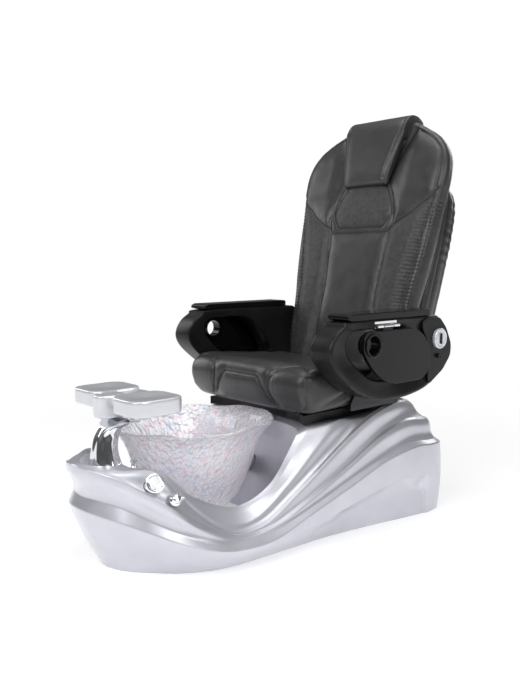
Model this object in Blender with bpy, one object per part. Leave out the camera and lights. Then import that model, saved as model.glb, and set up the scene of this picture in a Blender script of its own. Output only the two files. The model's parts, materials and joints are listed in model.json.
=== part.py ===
"""Pedicure spa chair: a pearl base with a foot bowl, and a powered reclining massage seat.

The chair faces -Y, +Z is up, and X = 0 is its plane of symmetry. Every shape is drawn in the
chair's own coordinates, then the empty called "chair" moves the whole so that the middle of its
floor rectangle is the origin.
"""

import math

import bmesh
import bpy
from mathutils import Matrix, Vector

# Driving dimensions, in metres.
FRONT_Y = -0.700  # bow tip of the base
REAR_Y = 0.778  # rearmost point of the back shell
GAP = 0.0004  # between pieces that touch on the real chair
SKIN = 0.012  # moulded shell of the base

BOWL_CENTRE = Vector((0, -0.262, 0))
BOWL_WALL = 0.006
JET_CENTRE = Vector((0, -0.066, 0.232))  # middle of the bowl's rear wall
JET_AXIS = Vector((0, 0.928, -0.371)).normalized()  # out of the bowl, towards the motor

DISH_Z = 0.288  # floor of the dish that carries the footrest stand
DECK_NORMAL = Vector((0.861, -0.152, 0.483)).normalized()  # sloping deck beside the dish
SHOWER_CENTRE = Vector((0.210, -0.561, 0.2935))
MIXER_CENTRE = Vector((0.238, -0.512, 0.2425))
DRAIN_KNOB_CENTRE = Vector((0.043, -0.520, DISH_Z + 0.0015))
FOOTREST_PIVOT = Vector((0, -0.535, 0.470))

RAIL_X = 0.170
SEAT_PAN_Z = 0.4150
CUSHION_Z = 0.4305
SEAT_HALF_WIDTH = 0.285

RECLINE_PIVOT = Vector((0, 0.400, 0.475))
LEAN = math.radians(14)
CUSHION_DEPTH = 0.095
SHELL_DEPTH = 0.217

ARM_INNER_X, ARM_OUTER_X = 0.310, 0.400
TRAY_INNER_X, TRAY_OUTER_X = 0.4045, 0.4200
TRAY_HINGE = Vector((0.4125, 0, 0.7040))
CUP_YZ = (0.126, 0.646)
DIAL_YZ = (0.493, 0.642)

COLOURS = {  # base colour, metallic, roughness
    "pearl": ((0.68, 0.69, 0.73), 0.55, 0.30),
    "leather": ((0.020, 0.020, 0.022), 0.0, 0.45),
    "matte_black": ((0.025, 0.025, 0.027), 0.0, 0.55),
    "gloss_black": ((0.006, 0.006, 0.007), 0.0, 0.06),
    "chrome": ((0.80, 0.81, 0.82), 1.0, 0.08),
    "steel": ((0.33, 0.34, 0.35), 0.9, 0.40),
    "bowl_glass": ((0.86, 0.84, 0.90), 0.0, 0.08),
    "grey_plastic": ((0.30, 0.30, 0.31), 0.0, 0.50),
    "white_plastic": ((0.80, 0.80, 0.78), 0.0, 0.40),
    "rubber": ((0.03, 0.03, 0.03), 0.0, 0.80),
    "silver_trim": ((0.62, 0.63, 0.65), 0.9, 0.25),
}

# Ridges and valleys of the base, each from the bow (x = 0) round the left side to the stern
# (x = 0), at the same fifteen stations. Pairs are a narrow ledge between two overlapping waves.
WELL_BOTTOM = [
    (0, -0.430, 0.075), (0.035, -0.428, 0.075), (0.070, -0.420, 0.075), (0.105, -0.395, 0.075),
    (0.130, -0.360, 0.075), (0.145, -0.310, 0.075), (0.150, -0.250, 0.075), (0.147, -0.190, 0.075),
    (0.135, -0.145, 0.075), (0.118, -0.122, 0.075), (0.095, -0.108, 0.075), (0.070, -0.099, 0.075),
    (0.047, -0.094, 0.075), (0.024, -0.091, 0.075), (0, -0.090, 0.075),
]  # fmt: skip
WELL_WALL = [
    (0, -0.500, 0.284), (0.040, -0.498, 0.284), (0.082, -0.488, 0.278), (0.125, -0.455, 0.235),
    (0.155, -0.405, 0.160), (0.180, -0.335, 0.112), (0.188, -0.250, 0.102), (0.192, -0.150, 0.135),
    (0.192, -0.080, 0.215), (0.180, -0.050, 0.235), (0.150, -0.038, 0.235), (0.115, -0.030, 0.232),
    (0.078, -0.025, 0.230), (0.040, -0.022, 0.230), (0, -0.020, 0.230),
]  # fmt: skip
DISH_FOOT = [
    (0, -0.652, 0.287), (0.045, -0.634, 0.287), (0.092, -0.582, 0.286), (0.150, -0.490, 0.262),
    (0.180, -0.420, 0.195), (0.205, -0.335, 0.150), (0.214, -0.250, 0.140), (0.222, -0.142, 0.185),
    (0.226, -0.058, 0.290), (0.208, -0.030, 0.312), (0.170, -0.012, 0.312), (0.128, 0.000, 0.312),
    (0.086, 0.007, 0.312), (0.043, 0.011, 0.312), (0, 0.012, 0.312),
]  # fmt: skip
WELL_RIM = [
    (0, -0.668, 0.331), (0.045, -0.651, 0.328), (0.100, -0.595, 0.327), (0.165, -0.497, 0.303),
    (0.197, -0.425, 0.230), (0.224, -0.335, 0.183), (0.234, -0.250, 0.175), (0.240, -0.140, 0.225),
    (0.243, -0.045, 0.345), (0.222, -0.016, 0.366), (0.182, 0.004, 0.367), (0.137, 0.016, 0.367),
    (0.092, 0.023, 0.367), (0.046, 0.027, 0.367), (0, 0.028, 0.367),
]  # fmt: skip
DECK_FRONT = [
    (0, -0.673, 0.3315), (0.049, -0.655, 0.3280), (0.106, -0.599, 0.3265), (0.173, -0.500, 0.3030),
    (0.205, -0.430, 0.226), (0.233, -0.337, 0.170), (0.246, -0.246, 0.164), (0.252, -0.128, 0.225),
    (0.254, -0.010, 0.357), (0.232, 0.012, 0.378), (0.190, 0.026, 0.380), (0.143, 0.035, 0.380),
    (0.096, 0.041, 0.380), (0.048, 0.044, 0.380), (0, 0.045, 0.380),
]  # fmt: skip
WAVE_1 = [
    (0, -0.678, 0.331), (0.052, -0.660, 0.327), (0.112, -0.603, 0.3255), (0.180, -0.503, 0.303),
    (0.215, -0.437, 0.215), (0.248, -0.340, 0.141), (0.265, -0.235, 0.139), (0.271, -0.100, 0.226),
    (0.279, 0.090, 0.376), (0.277, 0.215, 0.3795), (0.272, 0.340, 0.380), (0.258, 0.440, 0.380),
    (0.200, 0.520, 0.380), (0.110, 0.550, 0.380), (0, 0.556, 0.380),
]  # fmt: skip
WAVE_2_VALLEY = [
    (0, -0.684, 0.3305), (0.056, -0.666, 0.3262), (0.118, -0.609, 0.3245), (0.182, -0.519, 0.309),
    (0.224, -0.440, 0.192), (0.264, -0.341, 0.115), (0.284, -0.218, 0.117), (0.294, -0.085, 0.190),
    (0.304, 0.097, 0.307), (0.308, 0.252, 0.390), (0.296, 0.404, 0.4150), (0.266, 0.492, 0.4060),
    (0.210, 0.556, 0.397), (0.117, 0.592, 0.390), (0, 0.602, 0.388),
]  # fmt: skip
WAVE_2 = [
    (0, -0.689, 0.330), (0.060, -0.672, 0.325), (0.125, -0.615, 0.323), (0.186, -0.530, 0.311),
    (0.232, -0.437, 0.190), (0.272, -0.340, 0.113), (0.291, -0.215, 0.115), (0.301, -0.080, 0.188),
    (0.311, 0.100, 0.305), (0.3155, 0.260, 0.388), (0.303, 0.410, 0.413), (0.273, 0.500, 0.403),
    (0.216, 0.566, 0.393), (0.120, 0.602, 0.386), (0, 0.612, 0.384),
]  # fmt: skip
WAVE_3_VALLEY = [
    (0, -0.698, 0.3275), (0.069, -0.681, 0.3245), (0.151, -0.621, 0.2985), (0.227, -0.534, 0.2345),
    (0.259, -0.448, 0.163), (0.285, -0.322, 0.102), (0.300, -0.199, 0.107), (0.308, -0.062, 0.157),
    (0.318, 0.108, 0.233), (0.327, 0.277, 0.319), (0.328, 0.417, 0.353), (0.321, 0.512, 0.346),
    (0.288, 0.585, 0.337), (0.172, 0.633, 0.330), (0, 0.640, 0.328),
]  # fmt: skip
WAVE_3 = [
    (0, -0.700, 0.326), (0.071, -0.683, 0.323), (0.154, -0.623, 0.296), (0.230, -0.535, 0.231),
    (0.262, -0.447, 0.158), (0.290, -0.320, 0.099), (0.305, -0.197, 0.103), (0.314, -0.060, 0.152),
    (0.324, 0.110, 0.228), (0.334, 0.280, 0.314), (0.335, 0.420, 0.348), (0.328, 0.518, 0.341),
    (0.295, 0.592, 0.332), (0.178, 0.640, 0.325), (0, 0.647, 0.323),
]  # fmt: skip
WAVE_4_VALLEY = [
    (0, -0.670, 0.232), (0.077, -0.656, 0.233), (0.150, -0.605, 0.209), (0.235, -0.510, 0.149),
    (0.287, -0.408, 0.102), (0.305, -0.320, 0.084), (0.315, -0.197, 0.094), (0.321, -0.060, 0.130),
    (0.330, 0.110, 0.187), (0.343, 0.280, 0.241), (0.355, 0.430, 0.275), (0.357, 0.530, 0.268),
    (0.322, 0.608, 0.262), (0.190, 0.660, 0.258), (0, 0.668, 0.257),
]  # fmt: skip
WAVE_4 = [
    (0, -0.690, 0.200), (0.076, -0.675, 0.194), (0.166, -0.618, 0.172), (0.250, -0.522, 0.126),
    (0.300, -0.419, 0.086), (0.318, -0.320, 0.069), (0.327, -0.197, 0.072), (0.331, -0.060, 0.114),
    (0.340, 0.110, 0.168), (0.354, 0.280, 0.230), (0.370, 0.430, 0.260), (0.373, 0.530, 0.256),
    (0.335, 0.620, 0.248), (0.200, 0.675, 0.243), (0, 0.685, 0.242),
]  # fmt: skip
FLOOR_EDGE = [
    (0, -0.600, 0), (0.065, -0.582, 0), (0.122, -0.541, 0), (0.199, -0.462, 0),
    (0.250, -0.363, 0), (0.266, -0.260, 0), (0.272, -0.140, 0), (0.280, -0.020, 0),
    (0.297, 0.120, 0), (0.322, 0.270, 0), (0.352, 0.430, 0), (0.362, 0.530, 0),
    (0.332, 0.620, 0), (0.200, 0.686, 0), (0, 0.700, 0),
]  # fmt: skip


# Scene, empties and materials.
def clear_scene():
    for obj in list(bpy.data.objects):
        bpy.data.objects.remove(obj)


AXES = {}  # empty's name -> (empty, its place in chair coordinates)


def add_axis(name, place, parent=None):
    """An empty on a joint's axis. What is parented to it is drawn in chair coordinates."""
    empty = bpy.data.objects.new(name, None)
    bpy.context.collection.objects.link(empty)
    empty.location = place
    if parent:
        empty.parent, parent_place = AXES[parent]
        empty.location = place - parent_place
    AXES[name] = (empty, Vector(place))


def material(name):
    found = bpy.data.materials.get(name)
    if found:
        return found
    made = bpy.data.materials.new(name)
    made.use_nodes = True
    colour, metallic, roughness = COLOURS[name]
    shader = made.node_tree.nodes["Principled BSDF"]
    shader.inputs["Base Color"].default_value = (*colour, 1)
    shader.inputs["Metallic"].default_value = metallic
    shader.inputs["Roughness"].default_value = roughness
    made.diffuse_color = (*colour, 1)
    return made


def mesh_of(name, bm):
    bmesh.ops.recalc_face_normals(bm, faces=bm.faces)
    if bm.calc_volume(signed=True) < 0:
        bmesh.ops.reverse_faces(bm, faces=bm.faces)
    mesh = bpy.data.meshes.new(name)
    bm.to_mesh(mesh)
    bm.free()
    mesh.shade_smooth()
    mesh.set_sharp_from_angle(angle=math.radians(35))
    return mesh


def add(name, bm, finish, on="chair", bevel=0.0, segments=1):
    """One named sub-part, drawn in chair coordinates and carried by the empty `on`."""
    obj = bpy.data.objects.new(name, mesh_of(name, bm))
    bpy.context.collection.objects.link(obj)
    obj.data.materials.append(material(finish))
    obj.parent, place = AXES[on]
    obj.location = -place
    if bevel:
        modifier = obj.modifiers.new("rounded edges", "BEVEL")
        modifier.width = bevel
        modifier.segments = segments
        modifier.limit_method = "ANGLE"
        modifier.angle_limit = math.radians(50)
    return obj


def combine(obj, bm, operation):
    """A Boolean with a hidden helper drawn in the same coordinates as obj."""
    helper = bpy.data.objects.new(f"{obj.name}_{operation.lower()}", mesh_of("helper", bm))
    bpy.context.collection.objects.link(helper)
    helper.parent = obj.parent
    helper.location = obj.location
    helper.hide_render = True
    helper.display_type = "WIRE"
    modifier = obj.modifiers.new(operation.lower(), "BOOLEAN")
    modifier.operation = operation
    modifier.solver = "EXACT"
    modifier.object = helper


def cut(obj, bm):
    combine(obj, bm, "DIFFERENCE")


def join(obj, bm):
    combine(obj, bm, "UNION")


# Shapes.
def loft(loops, closed=False):
    """Loops of the same length joined in turn, capped at both ends or closed on themselves."""
    bm = bmesh.new()
    rows = [[bm.verts.new(point) for point in loop] for loop in loops]
    if closed:
        rows.append(rows[0])
    else:
        bm.faces.new(rows[0])
        bm.faces.new(rows[-1])
    for row, after in zip(rows, rows[1:]):
        for i, corner in enumerate(row):
            bm.faces.new((corner, row[i - 1], after[i - 1], after[i]))
    return bm


def prism(outline, axis, low, high):
    """An outline in the two other axes, in X, Y, Z order, extruded along axis."""
    place = {
        "x": lambda a, b, c: Vector((c, a, b)),
        "y": lambda a, b, c: Vector((a, c, b)),
        "z": lambda a, b, c: Vector((a, b, c)),
    }[axis]
    return loft([[place(a, b, c) for a, b in outline] for c in (low, high)])


def box(low, high):
    (x0, y0, z0), (x1, y1, z1) = low, high
    return prism([(x0, y0), (x1, y0), (x1, y1), (x0, y1)], "z", z0, z1)


def circle(centre, axis, radius, count):
    axis = Vector(axis).normalized()
    side = axis.orthogonal().normalized()
    other = axis.cross(side)
    turns = [2 * math.pi * i / count for i in range(count)]
    return [centre + radius * (math.cos(t) * side + math.sin(t) * other) for t in turns]


def turned(start, axis, profile, count=24, hollow=False):
    """A round piece. The profile is (radius, distance along axis); hollow ones close on themselves."""
    axis = Vector(axis).normalized()
    loops = [circle(Vector(start) + axis * h, axis, r, count) for r, h in profile]
    return loft(loops, closed=hollow)


def rod(start, end, radius, count=16):
    start, end = Vector(start), Vector(end)
    length = (end - start).length
    return turned(start, end - start, [(radius, 0), (radius, length)], count)


def pipe(points, outer, inner, count=12):
    """A hollow pipe along a smooth route."""
    route = [Vector(p) for p in points]
    middle = [p.lerp(q, t) for p, q in zip(route, route[1:]) for t in (0.25, 0.75)]
    route = [route[0], *middle[1:-1], route[-1]]
    outside, inside = [], []
    for i, place in enumerate(route):
        ahead = route[min(i + 1, len(route) - 1)] - route[max(i - 1, 0)]
        side = ahead.cross(Vector((1, 0, 0))).normalized()
        other = ahead.cross(side).normalized()
        for loops, radius in ((outside, outer), (inside, inner)):
            turns = [2 * math.pi * k / count for k in range(count)]
            loops.append([place + radius * (math.cos(t) * side + math.sin(t) * other) for t in turns])
    return loft(outside + inside[::-1], closed=True)


def rounded(outline, radius, steps=3):
    """The outline with each corner replaced by an arc of about this radius."""
    points = [Vector(p) for p in outline]
    result = []
    for i, corner in enumerate(points):
        before, after = points[i - 1] - corner, points[(i + 1) % len(points)] - corner
        reach = min(radius, before.length * 0.48, after.length * 0.48)
        start, end = corner + before.normalized() * reach, corner + after.normalized() * reach
        for k in range(steps + 1):
            t = k / steps
            result.append(tuple(start.lerp(corner, t).lerp(corner.lerp(end, t), t)))
    return result


def smooth(points, steps, closed=False):
    """Catmull-Rom curve through the points."""
    count = len(points)
    vectors = [Vector(p) for p in points]

    def at(i):
        if closed:
            return vectors[i % count]
        if i < 0:
            return 2 * vectors[0] - vectors[1]
        if i >= count:
            return 2 * vectors[-1] - vectors[-2]
        return vectors[i]

    result = []
    for i in range(count if closed else count - 1):
        a, b, c, d = at(i - 1), at(i), at(i + 1), at(i + 2)
        for k in range(steps):
            t = k / steps
            result.append(
                b
                + 0.5 * (c - a) * t
                + 0.5 * (2 * a - 5 * b + 4 * c - d) * t**2
                + 0.5 * (3 * b - a - 3 * c + d) * t**3
            )
    return result if closed else [*result, vectors[-1]]


def mirrored(bm_maker, side):
    """The shape drawn for the left side (+X), mirrored when side is -1."""
    bm = bm_maker()
    if side < 0:
        bmesh.ops.scale(bm, vec=(-1, 1, 1), verts=bm.verts)
    return bm


def leaned(bm):
    """From back coordinates (x, depth behind the front, height along the lean) to the chair's."""
    bm.transform(Matrix.Translation(RECLINE_PIVOT) @ Matrix.Rotation(-LEAN, 4, "X"))
    return bm


SIDES = (("left", 1), ("right", -1))


# Base.
def full_ring(stations):
    """The left side's stations, smoothed and mirrored into a loop round the whole base."""
    near = smooth(stations, 2)
    near[0].x = near[-1].x = 0
    return near + [Vector((-p.x, p.y, p.z)) for p in near[-2:0:-1]]


def spread(ring, outward, down=0.0):
    """The ring moved outward in plan, and down."""
    moved = []
    for i, place in enumerate(ring):
        along = ring[(i + 1) % len(ring)] - ring[i - 1]
        normal = Vector((along.y, -along.x, 0)).normalized()
        moved.append(place + normal * outward - Vector((0, 0, down)))
    return moved


def base_shell():
    floor_edge, ridge = full_ring(FLOOR_EDGE), full_ring(WAVE_4)
    valley, rim = full_ring(WAVE_4_VALLEY), full_ring(WELL_RIM)
    belly = spread([a.lerp(b, 0.45) for a, b in zip(floor_edge, ridge)], 0.008)
    waves = (WELL_RIM, DECK_FRONT, WAVE_1, WAVE_2_VALLEY, WAVE_2, WAVE_3_VALLEY, WAVE_3)
    outside = [full_ring(ring) for ring in (WELL_BOTTOM, WELL_WALL, DISH_FOOT, *waves)]
    outside += [valley, ridge, belly, floor_edge]
    hollow = [
        spread(floor_edge, -SKIN),
        spread(belly, -SKIN),
        spread(valley, -SKIN),
        spread(full_ring(WAVE_2), -SKIN, SKIN),
        spread(full_ring(WAVE_1), -0.004, 0.014),
        spread(rim, 0.004, 0.030),
        spread(full_ring(DISH_FOOT), 0.006, 0.008),
        spread(full_ring(WELL_WALL), 0.006, 0.008),
        spread(full_ring(WELL_BOTTOM), 0.007),
    ]
    shell = add("base_shell", loft(outside + hollow, closed=True), "pearl")
    through, up = DECK_NORMAL * 0.06, Vector((0, 0, 0.05))
    cut(shell, rod(SHOWER_CENTRE - through, SHOWER_CENTRE + through, 0.0215))
    cut(shell, rod(MIXER_CENTRE - through, MIXER_CENTRE + through, 0.0115))
    cut(shell, rod(MIXER_CENTRE - through, MIXER_CENTRE - DECK_NORMAL * 0.018, 0.0170))
    cut(shell, rod(DRAIN_KNOB_CENTRE - up, DRAIN_KNOB_CENTRE + up, 0.0065))
    cut(shell, rod(JET_CENTRE + JET_AXIS * 0.012, JET_CENTRE + JET_AXIS * 0.10, 0.0335, 24))
    cut(shell, box((0.138, 0.60, 0.105), (0.202, 0.76, 0.155)))  # mains inlet
    cut(shell, box((-0.150, 0.60, -0.02), (-0.110, 0.76, 0.036)))  # drain pipe


def base_frame():
    """Welded tubes on levelling feet, with four posts under the deck that carries the seat."""
    centre_x, half_tube = 0.160, 0.015
    low, high, post_top = 0.030, 0.060, 0.336
    front, rear = -0.340, 0.520
    tube = box((centre_x - half_tube, front, low), (centre_x + half_tube, rear, high))
    frame = add("base_frame", tube, "steel")
    join(frame, box((-centre_x - half_tube, front, low), (-centre_x + half_tube, rear, high)))
    for y in (front, 0.060, 0.470):
        join(frame, box((-0.170, y, low + 0.002), (0.170, y + 2 * half_tube, high - 0.002)))
    for x in (-centre_x, centre_x):
        for y in (0.074, 0.480):
            join(frame, box((x - 0.012, y, low + 0.004), (x + 0.012, y + 0.024, post_top)))
    places = [(x, y) for x in (centre_x, -centre_x) for y in (front + 0.02, rear - 0.02)]
    foot = [(0.020, 0), (0.022, 0.003), (0.022, 0.012), (0.006, 0.016), (0.006, low - GAP)]
    for number, (x, y) in enumerate(places, 1):
        add(f"levelling_foot_{number}", turned((x, y, 0), (0, 0, 1), foot, 16), "rubber")


def ellipse(half_x, half_y, z, centre=BOWL_CENTRE, count=28):
    turns = [2 * math.pi * i / count for i in range(count)]
    return [centre + Vector((half_x * math.cos(t), half_y * math.sin(t), z)) for t in turns]


BOWL_SECTIONS = (  # half width, half length, height of the outside
    (0.0240, 0.0240, 0.1080),
    (0.0850, 0.1000, 0.1080),
    (0.1200, 0.1500, 0.1450),
    (0.1450, 0.1850, 0.2050),
    (0.1680, 0.2120, 0.2700),
    (0.1940, 0.2400, 0.3450),
    (0.2160, 0.2620, 0.3830),
    (0.2220, 0.2680, 0.3960),
)


def bowl():
    outer = [ellipse(a, b, z) for a, b, z in BOWL_SECTIONS]
    inner = [ellipse(a - BOWL_WALL, b - BOWL_WALL, z + BOWL_WALL * 0.3) for a, b, z in BOWL_SECTIONS[2:]]
    inner.insert(0, ellipse(0.0820, 0.0970, 0.1145))
    inner.insert(0, ellipse(0.0240, 0.0240, 0.1145))
    shape = add("bowl", loft(outer + inner[::-1], closed=True), "bowl_glass")
    join(shape, rod(JET_CENTRE - JET_AXIS * 0.0120, JET_CENTRE - JET_AXIS * 0.001, 0.0370, 24))
    cut(shape, rod(JET_CENTRE - JET_AXIS * 0.05, JET_CENTRE + JET_AXIS * 0.04, 0.0285, 24))


def drain():
    """Drain in the middle of the bowl, its pop-up stopper, and the pipe to the back."""
    place = BOWL_CENTRE
    flange = [(0.0165, 0.090), (0.0225, 0.090), (0.0225, 0.1150)]
    flange += [(0.0360, 0.1155), (0.0350, 0.1180), (0.0165, 0.1170)]
    add("drain_flange", turned(place, (0, 0, 1), flange, 24, hollow=True), "chrome")
    cap = [(0.0040, 0.096), (0.0040, 0.1190), (0.0200, 0.1190)]
    cap += [(0.0205, 0.1205), (0.0150, 0.1230), (0.0060, 0.1240)]
    add("drain_stopper", turned(place, (0, 0, 1), cap, 24), "chrome", on="drain_stopper_axis")
    route = [(0, -0.262, 0.0890), (0, -0.262, 0.0560), (0, -0.252, 0.0158), (0, -0.200, 0.0158)]
    route += [(0, 0.00, 0.0158), (-0.10, 0.40, 0.0158), (-0.13, 0.60, 0.0158), (-0.13, 0.72, 0.0158)]
    add("drain_pipe", pipe(route, 0.0145, 0.0120, 8), "grey_plastic")
    knob = [(0.0120, 0), (0.0125, 0.010), (0.0090, 0.014), (0.0085, 0.022), (0.0120, 0.026), (0.0100, 0.032)]
    shape = add("drain_knob", turned(DRAIN_KNOB_CENTRE, (0, 0, 1), knob, 16), "chrome", on="drain_knob_axis")
    up = Vector((0, 0, 1))
    join(shape, rod(DRAIN_KNOB_CENTRE - up * 0.030, DRAIN_KNOB_CENTRE + up * 0.004, 0.005))


def jet():
    """Pipeless foot-bath jet: housing through the bowl, cover, impeller on the motor's shaft."""
    housing = [(0.0215, -0.0155), (0.0350, -0.0155), (0.0350, -0.0124)]
    housing += [(0.0278, -0.0124), (0.0278, 0.030), (0.0215, 0.030)]
    add("jet_housing", turned(JET_CENTRE, JET_AXIS, housing, 24, hollow=True), "gloss_black")
    cover = [(0.0080, -0.030), (0.0240, -0.026), (0.0330, -0.0160)]
    cover += [(0.0300, -0.0160), (0.0220, -0.0225), (0.0080, -0.0265)]
    add("jet_cover", turned(JET_CENTRE, JET_AXIS, cover, 24, hollow=True), "chrome")
    wheel = add(
        "jet_impeller",
        turned(JET_CENTRE, JET_AXIS, [(0.0050, -0.014), (0.0070, -0.010), (0.0070, 0.018)], 12),
        "grey_plastic",
        on="jet_axis",
    )
    side = JET_AXIS.orthogonal().normalized()
    for k in range(4):
        turn = Matrix.Rotation(math.pi / 2 * k, 3, JET_AXIS)
        blade_side, across = turn @ side, turn @ JET_AXIS.cross(side)
        corners = []
        for h in (-0.006, 0.014):
            for r, c in ((0.004, -0.0012), (0.0185, -0.0012), (0.0185, 0.0012), (0.004, 0.0012)):
                corners.append(JET_CENTRE + JET_AXIS * h + blade_side * r + across * c)
        join(wheel, loft([corners[:4], corners[4:]]))
    motor = [(0.0300, 0.0304), (0.0300, 0.085), (0.0260, 0.090), (0.0260, 0.112), (0.0150, 0.116)]
    add("jet_motor", turned(JET_CENTRE, JET_AXIS, motor, 24), "grey_plastic")


def water_controls():
    """Hand shower in its sleeve and the mixer, both in the sloping deck on the left side."""
    sleeve = [(0.0170, -0.040), (0.0205, -0.040), (0.0205, 0.0035)]
    sleeve += [(0.0280, 0.0035), (0.0265, 0.0075), (0.0170, 0.0075)]
    add("shower_sleeve", turned(SHOWER_CENTRE, DECK_NORMAL, sleeve, 24, hollow=True), "chrome")
    head = [(0.0080, -0.060), (0.0100, -0.045), (0.0160, -0.020), (0.0160, 0.0080)]
    head += [(0.0235, 0.0082), (0.0235, 0.0150), (0.0190, 0.0165)]
    add("hand_shower", turned(SHOWER_CENTRE, DECK_NORMAL, head, 24), "chrome", on="hand_shower_axis")
    valve = [(0.0110, -0.050), (0.0150, -0.048), (0.0150, -0.026), (0.0105, -0.024), (0.0105, 0.0035)]
    add("mixer_valve", turned(MIXER_CENTRE, DECK_NORMAL, valve, 16), "steel")
    knob = [(0.0185, 0.0040), (0.0185, 0.0110), (0.0140, 0.0150), (0.0120, 0.0220), (0.0060, 0.0240)]
    shape = add("mixer_knob", turned(MIXER_CENTRE, DECK_NORMAL, knob, 20), "chrome", on="mixer_knob_axis")
    lever_end = MIXER_CENTRE + DECK_NORMAL * 0.022 + Vector((0.10, 0.75, -0.10)).normalized() * 0.020
    join(shape, rod(MIXER_CENTRE + DECK_NORMAL * 0.017, lever_end, 0.0035, 10))


def footrest():
    """Fluted column that flares into two arms, and the two-lobed rest that tilts on it."""
    sections = (  # centre y, half width, half depth, height
        (-0.590, 0.058, 0.050, 0.2895), (-0.594, 0.046, 0.042, 0.325), (-0.590, 0.034, 0.035, 0.370),
        (-0.580, 0.032, 0.032, 0.410), (-0.560, 0.062, 0.032, 0.436), (-0.545, 0.110, 0.026, 0.4505),
    )  # fmt: skip
    column = [ellipse(a, b, z, Vector((0, y, 0)), 20) for y, a, b, z in sections]
    stand = add("footrest_stand", loft(column), "chrome")
    pivot = FOOTREST_PIVOT
    ear = [(-0.011, 0.440), (0.011, 0.440), (0.009, 0.4775), (-0.009, 0.4775)]
    ear = [(pivot.y + y, z) for y, z in ear]
    for x in (-0.060, 0.060):
        join(stand, prism(ear, "x", x - 0.005, x + 0.005))
    cut(stand, rod((-0.08, pivot.y, pivot.z), (0.08, pivot.y, pivot.z), 0.0044, 12))
    add("footrest_pin", rod((-0.075, pivot.y, pivot.z), (0.075, pivot.y, pivot.z), 0.0040, 12), "steel")
    half = [(0.010, -0.600), (0.032, -0.600), (0.034, -0.575), (0.045, -0.600)]
    half += [(0.185, -0.600), (0.185, -0.428), (0.045, -0.428), (0.030, -0.450)]
    outline = half + [(-x, y) for x, y in half[::-1]]
    pads = prism(rounded(outline, 0.030, 3), "z", 0.484, 0.523)
    rest = add("footrest", pads, "silver_trim", on="footrest_axis", bevel=0.010)
    lug = [(-0.010, pivot.z - 0.009), (0.010, pivot.z - 0.009), (0.010, 0.488), (-0.010, 0.488)]
    lug = [(pivot.y + y, z) for y, z in lug]
    for x in (-0.0475, 0.0475):
        join(rest, prism(lug, "x", x - 0.0050, x + 0.0050))
    cut(rest, rod((-0.08, pivot.y, pivot.z), (0.08, pivot.y, pivot.z), 0.0044, 12))


def electrics():
    """Control box inside the stern with its mains inlet in the rear wall, and the drain pump."""
    add("control_box", box((0.060, 0.540, 0.082), (0.135, 0.625, 0.180)), "grey_plastic", bevel=0.004)
    inlet = add("power_inlet", box((0.141, 0.612, 0.108), (0.199, 0.683, 0.152)), "gloss_black")
    cut(inlet, box((0.148, 0.640, 0.115), (0.192, 0.700, 0.145)))
    pump = add("drain_pump", rod((0.075, 0.20, 0.070), (0.075, 0.32, 0.070), 0.036, 20), "grey_plastic")
    join(pump, box((0.050, 0.215, 0.001), (0.100, 0.305, 0.060)))


# Seat.
def slide_base():
    """Fixed channels on the deck, the black skirt round them, and the slide actuator."""
    for name, side in SIDES:
        x = side * RAIL_X
        channel = [(x - 0.020, 0.3825), (x + 0.020, 0.3825), (x + 0.020, 0.4000), (x + 0.016, 0.4000)]
        channel += [(x + 0.016, 0.3860), (x - 0.016, 0.3860), (x - 0.016, 0.4000), (x - 0.020, 0.4000)]
        add(f"slide_channel_{name}", prism(channel, "y", 0.055, 0.455), "steel")
    outline = [(0.120, 0.040), (0.200, 0.018), (0.242, -0.004), (0.242, 0.430), (0.200, 0.475)]
    inset = [(0.118, 0.048), (0.197, 0.027), (0.234, 0.008), (0.234, 0.426), (0.196, 0.467)]
    outline += [(-x, y) for x, y in outline[::-1]]
    inset += [(-x, y) for x, y in inset[::-1]]
    skirt = add("seat_skirt", prism(outline, "z", 0.3825, 0.4115), "matte_black")
    cut(skirt, prism(inset, "z", 0.37, 0.43))
    body = [(0.0085, 0), (0.0140, 0), (0.0140, 0.190), (0.0085, 0.190)]
    add("slide_actuator", turned((0, 0.270, 0.3975), (0, 1, 0), body, 16, hollow=True), "steel")


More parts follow.
